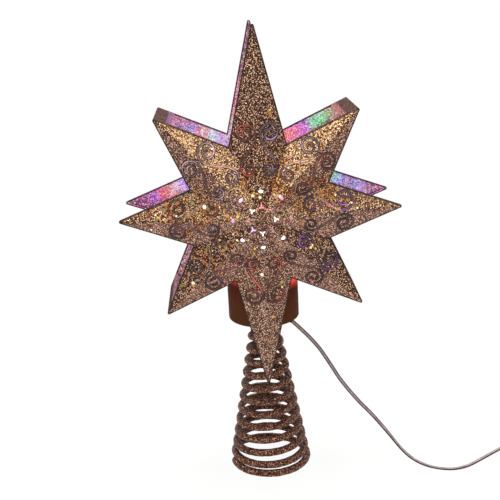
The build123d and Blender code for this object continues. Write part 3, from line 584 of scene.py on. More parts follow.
turn = np.linspace(0.0, turn_knots[-1], round(turn_knots[-1] * steps_per_turn) + 1)
level = np.interp(turn, turn_knots, height_knots)
level = np.convolve(np.pad(level, soft_steps // 2, mode="edge"), np.full(soft_steps, 1 / soft_steps), "valid")
sweep_reach = np.interp(level, height_knots[[0, -1]], [foot_reach * mm, crown_reach * mm])
angle = np.radians(wire_start) + 2 * np.pi * turn
spring_line = np.column_stack([sweep_reach * np.cos(angle), sweep_reach * np.sin(angle), level])

around_wire = np.linspace(0, 2 * np.pi, wire_sides, endpoint=False)
crust = wire_radius * (1 + random.normal(0.0, crust_spread, (len(turn), wire_sides)))
crust = np.clip(crust, wire_radius * crust_least, wire_radius * crust_most)
for step, taper in enumerate(end_tapers):
    crust[[step, -1 - step]] *= taper
wire_profile = np.stack([crust * np.cos(around_wire), crust * np.sin(around_wire)], -1)
spring_skin = carried(spring_line, wire_profile, np.array([0.0, 0.0, 1.0]))
spring_skin[..., 2] = np.clip(spring_skin[..., 2], spring_low.z, spring_high.z)
spring = piece_from("spring_wire", spring_skin, tube_faces(len(turn), wire_sides))
print("spring turns", turn_knots[-1], "faces", len(spring.data.polygons))

# %% Spring finish
spring_finish, tree, shader = new_material("bronze_glitter", Metallic=0.25, Specular_IOR_Level=0.15)
coat = use_group(tree, glitter, **coat_of((26, 12, 9), (88, 54, 44), (230, 174, 140), Grain=1600.0, Tilt=0.9,
                                          Sparkle=0.8, Dots=0.29))
fill(tree, shader, Base_Color=coat["Color"], Roughness=coat["Roughness"], Normal=coat["Normal"])
dress(spring, spring_finish)
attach(spring, "base")
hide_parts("spring")
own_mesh(spring)
print("spring finish with", len(tree.nodes), "nodes")

# %% [markdown]
# ## Star shells
#
# Each shell is sixteen flat facets between a middle, eight tips and eight notches. The solid model already
# has them, so the shells keep their solids and get a finish that knows outside from inside by the way a
# surface faces. Outside, light and shade are painted by facing: facets that look down are mauve, level ones a
# darker brown, and those that look up a lit gold, the more the higher they lie. Warm smudges lie between the
# arms. The outline and the narrow edges are dark. The inside takes the coloured light, which also spills on
# the plates that join the shells.

# %% Shell coats
shell_grain = 1750.0
# mauve, brown and gold are painted light and shade: the coats of facets that face down, level and up.
shell_coats = {
    "mauve": coat_of((26, 13, 10), (127, 87, 74), (255, 222, 204), Tilt=0.8, Sparkle=0.78, Dots=0.29),
    "brown": coat_of((38, 22, 17), (72, 42, 32), (255, 212, 176), Tilt=0.8, Sparkle=0.77, Dots=0.32),
    "gold": coat_of((40, 25, 17), (113, 75, 54), (240, 203, 160), Tilt=0.8, Sparkle=0.64, Dots=0.36),
    "edge": coat_of((24, 13, 14), (54, 34, 34), (110, 80, 80), Tilt=0.4, Dots=0.1),
}
# Painted light and shade by facing: where brown takes over from mauve, where gold takes over, and how far up
# the painted top light grows.
level_begins, level_full = -0.36, 0.1
rising_begins, rising_full, top_light_height = 0.22, 0.4, 60 * mm
edge_on, face_on = 0.3, 0.5
print("shell coats", list(shell_coats))

# %% Shell finish
smudge_spots = [(174.0, 44.0), (224.0, 42.0), (25.0, 37.0), (82.0, 26.0)]
smudge_size, smudge_scale = 30 * mm, 150.0
smudge_far, smudge_near, smudge_soft, smudge_share = 0.68, 0.46, 0.08, 0.75
border_begins, border_full = 1.1 * mm, 0.6 * mm
gap_depth, gap_step = edge_depth - rim_depth, 0.3
plate_step, plate_begins, plate_full = 0.6, 0.85, 0.87


def shell_finish(name, side):
    """Glitter outside with painted light and shade by facing, dark edges and lit inside. Side is -1 for the
    front shell and 1 for the rear.
    """
    material, tree, shader = new_material(name, Metallic=0.3, Specular_IOR_Level=0.2, Emission_Strength=1.0)
    place = object_place(tree)
    normal = put(tree, "ShaderNodeNewGeometry").outputs["True Normal"]
    facing = put(tree, "ShaderNodeSeparateXYZ", Vector=normal).outputs
    outward = number(tree, "MULTIPLY", facing["Y"], float(side))
    depth = vector(tree, "DOT_PRODUCT", place, (0.0, side, 0.0))
    flat_place = vector(tree, "MULTIPLY", place, in_plane)
    reach = vector(tree, "DISTANCE", flat_place, tuple(star_centre))
    coats = {word: use_group(tree, glitter, Grain=shell_grain, **values)
             for word, values in shell_coats.items()}
    coat = coats["mauve"]

    # Painted light and shade: mauve on facets that face down, darker brown on level ones, and a lit gold on
    # those that face up, stronger higher up.
    level_share = scaled(tree, facing["Z"], level_begins, level_full)
    skin = blended(tree, level_share, coat["Color"], coats["brown"]["Color"])
    height = put(tree, "ShaderNodeSeparateXYZ", Vector=place).outputs["Z"]
    painted_top_light = scaled(tree, height, star_middle, star_middle + top_light_height, 0.45, 1.0)
    painted_top_light = number(tree, "MULTIPLY", painted_top_light, scaled(tree, facing["Z"], rising_begins, rising_full))
    skin = blended(tree, painted_top_light, skin, coats["gold"]["Color"])

    warm = noise(tree, place, smudge_scale, 1.0)
    near = 0.0
    for angle, spot_reach in smudge_spots:
        away = vector(tree, "DISTANCE", flat_place, tuple(star_spot(angle, spot_reach)))
        near = number(tree, "MAXIMUM", near, scaled(tree, away, smudge_size, 0.2 * smudge_size))
    needed = scaled(tree, near, 0.0, 1.0, smudge_far, smudge_near)
    beyond = number(tree, "SUBTRACT", warm[0], needed)
    smudge = scaled(tree, beyond, 0.0, smudge_soft, 0.0, smudge_share)
    hue = channels(tree, warm[1])[1]
    tinted = blended(tree, scaled(tree, hue, 0.42, 0.58), colour(196, 126, 52), colour(152, 132, 58))
    skin = blended(tree, smudge, skin, blended(tree, 0.7, skin, tinted, "OVERLAY"))
    border = scaled(tree, use_group(tree, outline)["Inset"], border_begins, border_full, 0.0, 0.9)
    skin = blended(tree, border, skin, colour(38, 22, 19))
    skin = blended(tree, scaled(tree, outward, edge_on, face_on), coats["edge"]["Color"], skin)

    in_gap = scaled(tree, depth, gap_depth * mm, (gap_depth - gap_step) * mm)
    by_plate = number(
        tree, "MULTIPLY",
        scaled(tree, reach, (plate_reach + plate_step) * mm, (plate_reach - plate_step) * mm),
        scaled(tree, reach, plate_begins * plate_reach * mm, plate_full * plate_reach * mm))
    spill = number(tree, "MULTIPLY", number(tree, "MULTIPLY", in_gap, by_plate),
                   scaled(tree, outward, face_on, edge_on, 0.0, 0.7))
    inner = number(tree, "MULTIPLY", scaled(tree, outward, -edge_on, -face_on),
                   number(tree, "SUBTRACT", 1.0, border))
    within = number(tree, "MAXIMUM", inner, spill)
    skin = blended(tree, within, skin, colour(84, 54, 58))
    skin = blended(tree, spill, skin, colour(30, 16, 22))
    dull = scaled(tree, outward, face_on, edge_on, 0.0, 0.9)

    lit = dimmed(tree, use_group(tree, pools)["Color"], scaled(tree, coat["Tone"], 0.12, 0.6, 0.27, 1.15))
    lit = blended(tree, scaled(tree, coat["Tone"], 0.74, 0.86), lit, colour(250, 232, 242))
    fill(tree, shader, Base_Color=skin, Roughness=number(tree, "MAXIMUM", coat["Roughness"], dull),
         Normal=coat["Normal"], Emission_Color=blended(tree, within, unlit, lit))
    return material


for name, side in (("front_shell", -1), ("rear_shell", 1)):
    finish = shell_finish(name + "_glitter", side)
    dress(nodes[name], finish)
    print(finish.name, "with", len(finish.node_tree.nodes), "nodes")

# %% [markdown]
# ## Places on a facet
#
# Scrolls, light holes and flakes all sit on the facets. A place is told by its arm, by how far it lies along
# the arm's ridge and by how far it lies to one side. Because a facet is flat, the depth of such a place is a
# plain sum of the two distances.

# %% Places on a facet
notch_along = notch_reach * np.cos(np.pi / arm_count)
notch_side = notch_reach * np.sin(np.pi / arm_count)


def arm_axes(arm, hand):
    """Directions along an arm's ridge and to one side of it. Arms count clockwise from the top, seen from the
    front, and hand 1 is the anticlockwise side."""
    angle = np.pi / 2 - arm * 2 * np.pi / arm_count
    zero = np.zeros_like(angle)
    ridge = np.stack([np.cos(angle), zero, np.sin(angle)], -1)
    sideways = np.stack([-np.sin(angle), zero, np.cos(angle)], -1) * np.asarray(hand)[..., None]
    return ridge, sideways


def facet_normal(arm, hand, face):
    """Direction straight out of a facet: straight out of the star, plus the fall along the ridge, plus the
    fall to its side."""
    ridge, sideways = arm_axes(arm, hand)
    fall_along = relief / ridge_reach[arm]
    fall_side = relief * (1 - notch_along / ridge_reach[arm]) / notch_side
    out = np.asarray(face)[..., None] * np.array([0.0, 1.0, 0.0])
    return unit(ridge * np.asarray(fall_along)[..., None] + sideways * np.asarray(fall_side)[..., None] + out)


def on_facet(arm, hand, face, along, side):
    """Point on the shell in metres, from millimetres along the ridge and to its side. The depth falls evenly
    from the middle towards the tip and towards the notch."""
    ridge, sideways = arm_axes(arm, hand)
    to_notch = side / notch_side
    to_tip = (along - notch_along * to_notch) / ridge_reach[arm]
    depth = (edge_depth + relief * (1 - to_tip - to_notch)) * face
    flat = ridge * np.asarray(along)[..., None] + sideways * np.asarray(side)[..., None]
    flat = flat * mm + star_centre
    return flat + np.stack([np.zeros_like(depth), depth * mm, np.zeros_like(depth)], -1)


print("middle of the front shell", np.round(on_facet(np.array(0), 1, -1, np.array(0.0), np.array(0.0)), 4))

# %% [markdown]
# ## Scroll slots
#
# Every facet carries one S-scroll: a large spiral halfway out, a smaller one near the middle, and a stem that
# crosses from the facet's edge to its ridge. On the real star it is a narrow slot with a thin lip, and the
# light inside shows through it in places. Two spirals and a cubic stem make the line, and a channel profile
# is carried along it. The channel's floor has a finish of its own, lit by a tint stored on the points. The
# lip's tint is stored too: dark on the spirals, and on the stem nearer to the facet's painted light and shade,
# gold where the facet faces up and brown or mauve where it does not.

# %% Scroll line
large_start, large_turns, large_curl, large_count = -110.0, 1.65, 0.2, 76
small_start, small_turns, small_curl, small_count = 70.0, 1.35, 0.24, 52
stem_count = 26


def spiral(centre, start_angle, turns, start_radius, end_radius, count):
    """Angle and radius change evenly along a spiral about a centre."""
    share = np.linspace(0.0, 1.0, count)
    angle = np.radians(start_angle) + 2 * np.pi * turns * share
    radius = start_radius + (end_radius - start_radius) * share
    return np.asarray(centre) + radius[:, None] * np.column_stack([np.cos(angle), np.sin(angle)])


def scroll_line(large_centre, small_centre, large_radius, small_radius):
    """Small spiral unwinding, a cubic stem, and the large spiral winding up, with the part of each point."""
    large = spiral(large_centre, large_start, large_turns, large_radius, large_curl * large_radius,
                   large_count)
    small = spiral(small_centre, small_start, small_turns, small_radius, small_curl * small_radius,
                   small_count)[::-1]
    share = np.linspace(0.0, 1.0, stem_count)[1:-1, None]
    lean = np.linalg.norm(large[0] - small[-1])
    leave = unit(small[-1] - small[-2]) * lean
    arrive = unit(large[1] - large[0]) * lean
    stem = ((2 * share ** 3 - 3 * share ** 2 + 1) * small[-1] + (share ** 3 - 2 * share ** 2 + share) * leave
            + (3 * share ** 2 - 2 * share ** 3) * large[0] + (share ** 3 - share ** 2) * arrive)
    part = np.repeat([0, 1, 2], [len(small), len(stem), len(large)])
    return np.vstack([small, stem, large]), part


scroll, scroll_part = scroll_line(large_centre=(51.5, 7.5), small_centre=(30.5, 6.2), large_radius=6.4,
                                  small_radius=4.7)
print("scroll line of", len(scroll), "points")

# %% Scroll slots
slot_profile = np.array([(-0.82, -0.25), (-0.78, 0.20), (-0.60, 0.30), (-0.42, 0.24), (-0.38, 0.08),
                         (0.38, 0.08), (0.42, 0.24), (0.60, 0.30), (0.78, 0.20), (0.82, -0.25)]) * mm
lit_column = 4
slot_tints = ("lilac red rust blush dusk orchid rust orchid "
              "red red blush rose rust mauve blush blush")
slot_glows = np.array([(0.5, 0.3, 1.0), (0.9, 0.2, 0.8), (0.4, 0.9, 0.7), (0.5, 0.1, 0.8),
                       (0.1, 0.2, 0.3), (0.4, 0.7, 1.0), (0.2, 0.1, 0.2), (0.9, 0.4, 0.4),
                       (0.9, 1.3, 0.5), (0.8, 1.7, 0.5), (0.8, 0.7, 0.2), (0.7, 0.3, 0.3),
                       (0.7, 0.7, 0.4), (0.5, 0.5, 0.4), (1.2, 0.3, 1.6), (0.9, 0.2, 0.9)])
glow_waves, glow_shift, glow_least, glow_power = 19, 2.3, 0.18, 1.5
lip_ink = colour(44, 23, 20)
# The lip on the stems copies the facets' painted light and shade: mauve below, darker brown level, lit gold
# above, with less dark ink on the lit gold.
facet_slopes = [-0.3, 0.3]
facet_light_and_shade = np.array([colour(128, 95, 83), colour(112, 80, 67), colour(172, 132, 108)])
stem_inks = np.array([0.7, 0.6, 0.25])


def scroll_slots(name, face):
    """All sixteen scrolls of one shell as one piece, with the tints of lip and light on its points."""
    rows, columns = len(scroll), len(slot_profile)
    arm = np.repeat(np.arange(arm_count), 2)
    hand = np.tile([-1, 1], arm_count)
    count = len(arm)
    lines = on_facet(arm[:, None], hand[:, None], face, scroll[None, :, 0], scroll[None, :, 1])
    normals = facet_normal(arm, hand, np.full(count, face))
    points = np.stack([carried(line, slot_profile, normal) for line, normal in zip(lines, normals)])
    turned = hand * face > 0
    faces = [(group if turned[index] else group[:, ::-1]) + index * rows * columns
             for index in range(count) for group in tube_faces(rows, columns)]
    piece = piece_from(name, points, faces)

    rising = np.digitize(normals[:, 2], facet_slopes)
    ink = np.where(scroll_part[None] == 1, stem_inks[rising][:, None], 1.0)[..., None]
    lip_tint = np.array(lip_ink) * ink + facet_light_and_shade[rising][:, None] * (1 - ink)
    wave = np.sin(np.linspace(0, glow_waves, rows)[None] + glow_shift * np.arange(count)[:, None])
    wave = np.clip(wave, 0, 1) ** glow_power
    strength = slot_glows[:, scroll_part] * (glow_least + (1 - glow_least) * wave)
    slot_light = tints_of(slot_tints)[:, None, :] * strength[..., None]
    for label, tints in (("lip_tint", lip_tint), ("slot_light", slot_light)):
        store_tints(piece, label, np.broadcast_to(tints[:, :, None, :], (count, rows, columns, 4)))
    lit = np.tile(np.arange(columns) == lit_column, rows - 1)
    lit = np.tile(np.concatenate([lit, [False, False]]), count)
    piece.data.polygons.foreach_set("material_index", lit.astype(np.int32))
    return piece


# %% Slot finish
def slot_finish(name, **values):
    """Glitter that takes its colour from the points: flakes from less than half to nearly twice as bright."""
    material, tree, shader = new_material(name, **values)
    coat = use_group(tree, glitter, Grain=shell_grain, Tilt=0.5)
    speckled = dimmed(tree, stored(tree, "lip_tint"), scaled(tree, coat["Tone"], 0.2, 0.8, 0.4, 1.7))
    fill(tree, shader, Base_Color=speckled, Roughness=coat["Roughness"], Normal=coat["Normal"])
    return material, tree, shader, coat


lip_finish = slot_finish("slot_lip", Metallic=0.3)[0]
lit_finish, tree, shader, coat = slot_finish("slot_light", Emission_Strength=1.0)
broken = dimmed(tree, stored(tree, "slot_light"), scaled(tree, coat["Tone"], 0.2, 0.55, 0.3, 1.0))
fill(tree, shader, Emission_Color=broken)

for name, face in (("front_scrolls", -1), ("rear_scrolls", 1)):
    piece = scroll_slots(name, face)
    dress(piece, lip_finish, lit_finish)
    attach(piece, "head")
    print(name, len(piece.data.polygons), "faces")

# %% [markdown]
# ## Light holes
#
# Two rings of small holes near the middle let light out: drops on the ridges, and three-armed slits nearer
# in. Each is a little lens that fills its hole: an outline told by radius over angle, drawn in towards its
# middle ring by ring and raised a few tenths of a millimetre. Folding the sideways distance over the ridge
# keeps both halves on their own facet. The lower ones look straight at the lamps and are white, the others
# are tinted.

# %% Light holes
hole_rings, hole_sides = 5, 30
drop_distance, drop_radius, drop_skew, drop_waist = 17.3, 1.3, 0.45, 0.18
slit_distance, slit_radius, slit_reach = 8.3, 0.5, 1.75
lens_edge, lens_rise, lens_sink = 0.12, 0.4, 0.45
drop_tints = "white rose dusk white white white mauve lilac"
slit_tints = "coral dusk white dusk white lilac dusk white"


def light_lenses(name, face):
    """Radius over angle: a drop is a circle made uneven by two cosines, and a slit a small circle with three
    narrow lobes. Each ring is a smaller copy, raised by one less the square of its share."""
    share = np.linspace(1.0, 0.0, hole_rings)[:, None]
    turn = np.linspace(0, 2 * np.pi, hole_sides, endpoint=False)[None]
    drop = drop_radius * (1 + drop_skew * np.cos(turn)) * (1 - drop_waist * np.cos(2 * turn))
    slit = slit_radius + slit_reach * np.abs(np.cos(1.5 * turn)) ** 4
    outward = np.array([0.0, face, 0.0])
    rise = (lens_edge + lens_rise * (1 - share ** 2))[..., None] * mm
    parts = []
    for arm in range(arm_count):
        for reach, distance in ((drop, drop_distance), (slit, slit_distance)):
            along = distance + share * reach * np.cos(turn)
            side = share * reach * np.sin(turn)
            hand = np.where(side < 0, -1, 1)
            point = on_facet(np.full(side.shape, arm), hand, face, along, np.abs(side)) + rise * outward
            point[0] -= lens_sink * mm * outward
            parts.append(point)
    size = hole_rings * hole_sides
    crown = ring_faces(hole_rings, hole_sides)
    base = np.arange(hole_sides)[None]
    groups = [group[:, ::face] + index * size for index in range(len(parts)) for group in (crown, base)]
    piece = piece_from(name, np.stack(parts), groups)
    tints = np.stack([tints_of(drop_tints), tints_of(slit_tints)], 1).reshape(-1, 4)
    store_tints(piece, "hole_light", np.repeat(tints, size, axis=0))
    return piece


# %% Hole finish
hole_finish, tree, shader = new_material("white_light", Roughness=0.3, Emission_Strength=1.0)
sparkle = noise(tree, object_place(tree), 320.0, 2.0)[0]
glow = blended(tree, scaled(tree, sparkle, 0.35, 0.6, 0.75, 1.0), colour(150, 90, 120),
               stored(tree, "hole_light"))
fill(tree, shader, Emission_Color=glow, Base_Color=glow)
for name, face in (("front_light_lenses", -1), ("rear_light_lenses", 1)):
    piece = light_lenses(name, face)
    dress(piece, hole_finish)
    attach(piece, "head")
    print(name, len(piece.data.polygons), "faces")

# %% [markdown]
# ## Large flakes
#
# Between the fine glitter lie large six-sided flakes in orange, gold, yellow, green and purple, thickest on
# the left arms and about the middle. They are scattered by a seeded draw: an arm, a side, and a place on its
# facet. Each is a thin hexagon with its own tilt, and carries its tint on its points.

# %% Large flakes
flakes_per_facet = np.array([(4, 5), (9, 3), (5, 13), (4, 10), (5, 5), (34, 6), (46, 10), (2, 5)])
flake_tints = [(166, 102, 52), (178, 96, 48), (196, 150, 78), (132, 114, 58), (180, 124, 60),
               (164, 120, 66), (244, 224, 150), (106, 80, 98), (132, 50, 36), (232, 180, 80),
               (196, 116, 112), (252, 242, 206)]
flake_start, flake_span, flake_crowding = 14, 56, 1.2
flake_inner, flake_outer = 0.08, 0.86
flake_lift, flake_tip, flake_thickness = 0.25, 0.16, 0.12
flake_least, flake_growth = 0.6, 0.8


def large_flakes(name, face, draw):
    """Six corners at even angles about a middle on a facet, in a plane tipped a little from the facet's."""
    arm = np.repeat(np.arange(arm_count), flakes_per_facet.sum(1))
    hand = np.repeat(np.tile([-1, 1], arm_count), flakes_per_facet.ravel())
    count = len(arm)
    along = flake_start + flake_span * draw.random(count) ** flake_crowding
    widest = np.where(along < notch_along, along * notch_side / notch_along,
                      notch_side * (ridge_reach[arm] - along) / (ridge_reach[arm] - notch_along))
    side = widest * draw.uniform(flake_inner, flake_outer, count)
    normal = facet_normal(arm, hand, np.full(count, face))
    middle = on_facet(arm, hand, face, along, side) + normal * flake_lift * mm
    tipped = unit(normal + draw.normal(0.0, flake_tip, (count, 3)))
    first = unit(np.cross(tipped, draw.normal(size=(count, 3))))
    second = np.cross(tipped, first)
    corner = np.arange(6) * np.pi / 3
    size = (flake_least + flake_growth * draw.random(count) ** 2) * mm
    ring = first[:, None] * np.cos(corner)[:, None] + second[:, None] * np.sin(corner)[:, None]
    points = middle[:, None] + ring * size[:, None, None]
    piece = piece_from(name, points, [np.arange(count * 6).reshape(-1, 6)], smooth=False)
    tint = np.array([colour(*tint) for tint in flake_tints])[draw.integers(0, len(flake_tints), count)]
    store_tints(piece, "flake_tint", np.repeat(tint, 6, axis=0))
    leaf = piece.modifiers.new("leaf", "SOLIDIFY")
    leaf.thickness = flake_thickness * mm
    return piece


# %% Flake finish
# The flakes also glow faintly in their own tint: a painted glow, for they are no lamps.
flake_finish, tree, shader = new_material("coloured_flake", Metallic=0.55, Roughness=0.3,
                                          Emission_Strength=0.1)
rainbow = noise(tree, object_place(tree), 500.0, 2.0)[1]
shown = blended(tree, 0.14, stored(tree, "flake_tint"), rainbow, "OVERLAY")
fill(tree, shader, Base_Color=shown, Emission_Color=shown)
for name, face in (("front_flakes", -1), ("rear_flakes", 1)):
    piece = large_flakes(name, face, random)
    dress(piece, flake_finish)
    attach(piece, "head")
    print(name, len(piece.data.polygons), "flakes")

# %% [markdown]
# ## Light dome
#
# The dome is a clear ball with flat facets that break the lamps' light into patches as it turns. A surface of
# revolution with few sides, shaded flat, gives the facets, and Solidify gives the wall.

# %% Light dome
dome_low, dome_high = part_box("lens_dome")
dome_sides, dome_rows = 18, 11
neck_radius = 12.5 * mm
crown_share = 0.985
ball_radius = (dome_high.x - dome_low.x) / 2
ball_middle = dome_high.z - ball_radius
low_angle = -np.arccos(neck_radius / ball_radius)
tilt = np.linspace(low_angle, np.pi / 2 * crown_share, dome_rows)
radius = np.concatenate([[neck_radius], ball_radius * np.cos(tilt)])
height = np.concatenate([[dome_low.z], ball_middle + ball_radius * np.sin(tilt)])
half_step = (np.arange(len(radius)) % 2)[:, None] * np.pi / dome_sides
spin = np.linspace(0, 2 * np.pi, dome_sides, endpoint=False) + half_step
dome_skin = np.stack([radius[:, None] * np.cos(spin), radius[:, None] * np.sin(spin),
                      np.broadcast_to(height[:, None], spin.shape)], -1)
dome_faces = [ring_faces(len(radius), dome_sides),
              (np.arange(dome_sides) + (len(radius) - 1) * dome_sides)[None]]
dome = piece_from("crystal_dome", dome_skin, dome_faces, smooth=False)
wall = dome.modifiers.new("wall", "SOLIDIFY")
wall.thickness = 1.5 * mm
wall.offset = -1.0
dome_finish, tree, shader = new_material("clear_dome", Transmission_Weight=1.0, IOR=1.49)
haze = noise(tree, object_place(tree), 180.0, 3.0)[0]
fill(tree, shader, Roughness=scaled(tree, haze, 0.3, 0.8, 0.03, 0.16),
     Base_Color=blended(tree, haze, colour(250, 240, 245), colour(236, 242, 252)))
dress(dome, dome_finish)
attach(dome, "dome")
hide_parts("lens_dome")
print("dome radius", round(ball_radius, 4), "faces", len(dome.data.polygons))

# %% [markdown]
# ## Housing
#
# The round housing is a smooth brown moulding. The red lamp shines through the front of its upper wall, so it
# glows red there and fades to dark brown below. The fades are smooth steps: over the height, which is tipped
# so that the glow reaches lower on the right, and over the depth, where the glow dies away behind.

# %% Housing finish
housing_low, housing_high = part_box("housing")
glow_lean = 0.1
glow_begins, glow_full, blush_below = 23.8 * mm, 27.8 * mm, 18 * mm
hot_begins, hot_full = -1 * mm, 3 * mm
dim_begins, dim_full = 4 * mm, 9.5 * mm
behind_begins, behind_full, behind_share = -8 * mm, 14 * mm, 0.75


def housing_finish(name, glow_low, glow_high):
    """Brown moulding whose red glow rises between two heights, in metres."""
    material, tree, shader = new_material(name, Specular_IOR_Level=0.02, Emission_Strength=1.0)
    place = object_place(tree)
    height = vector(tree, "DOT_PRODUCT", place, (glow_lean, 0.0, 1.0))
    cloud = noise(tree, place, 240.0, 4.0)[0]
    fade = number(tree, "ADD", scaled(tree, height, glow_low - blush_below, glow_high),
                  scaled(tree, cloud, 0, 1, -0.2, 0.2))
    warm = blended(tree, scaled(tree, height, glow_low, glow_high), unlit, colour(160, 32, 18))
    hot = scaled(tree, height, glow_high + hot_begins, glow_high + hot_full)
    dim = number(tree, "ADD", scaled(tree, height, glow_high + dim_begins, glow_high + dim_full),
                 scaled(tree, cloud, 0.3, 0.7, -0.25, 0.25))
    behind = scaled(tree, vector(tree, "DOT_PRODUCT", place, (0.0, 1.0, 0.0)), behind_begins, behind_full,
                    0.0, behind_share)
    flare = blended(tree, number(tree, "MAXIMUM", dim, behind), colour(246, 84, 62), colour(62, 16, 11))
    fill(tree, shader, Base_Color=blended(tree, fade, colour(74, 42, 24), colour(72, 30, 20)),
         Roughness=scaled(tree, cloud, 0.3, 0.7, 0.5, 0.65), Emission_Color=blended(tree, hot, warm, flare))
    return material


dress(nodes["housing"],
      housing_finish("housing_brown", housing_low.z + glow_begins, housing_low.z + glow_full))
out_of_glow = housing_high.z + 100 * mm
for name in ("bottom_cover", "spring_clips"):
    dress(nodes[name], housing_finish(name + "_brown", out_of_glow, out_of_glow + 100 * mm))
print("housing glows from", round(housing_low.z + glow_begins, 4), "m up")

# %% [markdown]
# ## Plain mouldings, metal and boards
#
# The pieces inside and the plug are ordinary: moulded plastic with a faint grain, plated screws, brass and
# green circuit board. One group gives grain to all of them, as a slow cloud in the colour, and as a fine
# noise in the bump and the roughness.

# %% Grain
slow_share = 0.12
bump_height = 0.2 * mm
grain, given, out = new_group(
    "fine_grain",
    [("Float", "Scale", 600.0), ("Color", "First", (0, 0, 0, 1)), ("Color", "Second", (1, 1, 1, 1))],
    [("Color", "Color"), ("Float", "Height"), ("Float", "Roughness")])
place = object_place(grain)
fine = noise(grain, place, given["Scale"], 4.0)[0]
slow = noise(grain, place, number(grain, "MULTIPLY", given["Scale"], slow_share), 2.0)[0]
wire(grain, blended(grain, scaled(grain, slow, 0.3, 0.7), given["First"], given["Second"]), out["Color"])
wire(grain, fine, out["Height"])
wire(grain, scaled(grain, fine, 0.25, 0.75, 0.28, 0.52), out["Roughness"])
print("grain group with", len(grain.nodes), "nodes")

# %% Plain finishes
def grained(name, first, second, scale=700.0, bump=0.12, duller=0.0, **values):
    """A finish that wanders between two colours, with a fine bump and a roughness that may be raised."""
    material, tree, shader = new_material(name, **values)
    made = use_group(tree, grain, Scale=scale, First=colour(*first), Second=colour(*second))
    rise = put(tree, "ShaderNodeBump", Strength=bump, Distance=bump_height, Height=made["Height"])
    fill(tree, shader, Base_Color=made["Color"], Normal=rise.outputs[0],
         Roughness=number(tree, "ADD", made["Roughness"], duller))
    return material


black = grained("black_moulding", (22, 21, 22), (36, 34, 35), Specular_IOR_Level=0.15)
steel = grained("plated_steel", (116, 116, 120), (144, 144, 148), 1800.0, 0.08, 0.3, Metallic=1.0)
brass = grained("brass", (176, 136, 62), (212, 172, 92), 1500.0, 0.08, Metallic=1.0)
alloy = grained("bright_alloy", (190, 192, 196), (216, 218, 222), 1600.0, 0.06, Metallic=1.0)
board = grained("circuit_board", (12, 78, 40), (20, 104, 56), 900.0, 0.2)
acetal = grained("white_acetal", (222, 220, 214), (240, 238, 232), 800.0, 0.06)
gold = grained("contact_gold", (206, 160, 70), (236, 196, 104), 1500.0, 0.05, Metallic=1.0)
finish_of = {
    black: ["housing_bezel", "driver_chip", "motor_leads", "dome_retainer", "lamp_cable", "cord_grommet",
            "cord_tie", "plug_body", "plug_tongue"],
    steel: ["shell_screws", "cover_screws", "clip_screws", "board_screws", "motor_screws", "motor_shaft",
            "motor", "plug_shell"],
    brass: ["gearbox", "drive_pinion"],
    alloy: ["capacitor"],
    board: ["control_board", "lamp_board"],
    acetal: ["dome_gear", "thrust_washer"],
    gold: ["plug_contacts"],
}
for finish, names in finish_of.items():
    for name in names:
        dress(nodes[name], finish)
    print(finish.name, "on", len(names), "pieces")

# %% Lamps
paler_by = 70


def lamp_finish(name, tint):
    """A tinted lens that shines, with paler clouds in it."""
    material, tree, shader = new_material(name, Roughness=0.15, Emission_Strength=2.0)
    paler = [min(255, part + paler_by) for part in tint]
    made = use_group(tree, grain, Scale=900.0, First=colour(*tint), Second=colour(*paler))
    fill(tree, shader, Base_Color=made["Color"], Emission_Color=made["Color"])
    return material


for name, tint in (("red_lamp", (255, 50, 40)), ("green_lamp", (60, 235, 110)), ("blue_lamp", (70, 90, 255))):
    dress(nodes[name], lamp_finish(name, tint))
    print(name, "shines", tint)

# %% [markdown]
# ## Stage
#
# The topper stands on a plain white floor before white. The floor and the world are white to the camera, to
# reflections and through clear pieces, and otherwise give only a soft level of light. A trace of shadow stays
# on the floor near the foot. One broad warm lamp overhead models the facets, and a weak one fills from the
# front.

# %% Floor
floor_half, floor_drop = 3.0, 0.05 * mm
shadow_near, shadow_far, shadow_white = 0.10, 0.32, 0.94


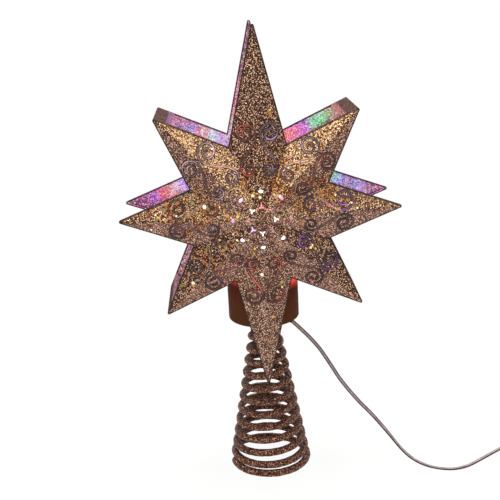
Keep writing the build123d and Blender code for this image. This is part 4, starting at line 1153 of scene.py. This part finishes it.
def seen_straight(tree):
    """1 for what the camera, a reflection or a clear piece shows, and 0 for light that falls on things."""
    path = put(tree, "ShaderNodeLightPath").outputs
    mirrored = number(tree, "MAXIMUM", path["Is Glossy Ray"], path["Is Transmission Ray"])
    return number(tree, "MAXIMUM", path["Is Camera Ray"], mirrored)


floor_corners = np.array([(-1, -1, 0), (1, -1, 0), (1, 1, 0), (-1, 1, 0)]) * floor_half
floor = piece_from("floor", floor_corners - np.array([0, 0, floor_drop]), [[[0, 1, 2, 3]]])
floor_finish, tree, shader = new_material("white_floor", Roughness=0.9, Base_Color=(0.8, 0.8, 0.8, 1.0))
away = vector(tree, "LENGTH", object_place(tree))
white = number(tree, "MULTIPLY", seen_straight(tree),
               scaled(tree, away, shadow_near, shadow_far, shadow_white, 1.0))
mixed = put(tree, "ShaderNodeMixShader", Fac=white)
wire(tree, shader.outputs[0], mixed.inputs[1])
wire(tree, put(tree, "ShaderNodeEmission", Strength=1.0).outputs[0], mixed.inputs[2])
fill(tree, tree.nodes["Material Output"], Surface=mixed.outputs[0])
dress(floor, floor_finish)
print("floor", 2 * floor_half, "m across")

# %% World and lamps
world_light = 0.6
world = bpy.data.worlds.new("white_room")
world.use_nodes = True
bpy.context.scene.world = world
tree = world.node_tree
fill(tree, tree.nodes["Background"], Color=(1.0, 1.0, 1.0, 1.0),
     Strength=scaled(tree, seen_straight(tree), 0.0, 1.0, world_light, 1.0))


def area_lamp(name, place, aim, size, power, tint):
    """A square lamp at a place, pointed at another."""
    data = bpy.data.lights.new(name, "AREA")
    data.size = size
    data.energy = power
    data.color = tint
    lamp = bpy.data.objects.new(name, data)
    lamp.location = place
    lamp.rotation_mode = "QUATERNION"
    lamp.rotation_quaternion = (Vector(aim) - Vector(place)).to_track_quat("-Z", "Y")
    bpy.context.scene.collection.objects.link(lamp)


area_lamp("overhead", (0.0, 0.06, 1.15), (0.0, 0.0, 0.18), 0.5, 22.0, (1.0, 0.89, 0.7))
area_lamp("front_fill", (-0.3, -1.3, 0.5), (0.0, 0.0, 0.16), 0.8, 3.0, (1.0, 0.93, 0.92))
bpy.context.scene.view_settings.view_transform = "Standard"
print("lamps", [lamp.name for lamp in bpy.data.lights])
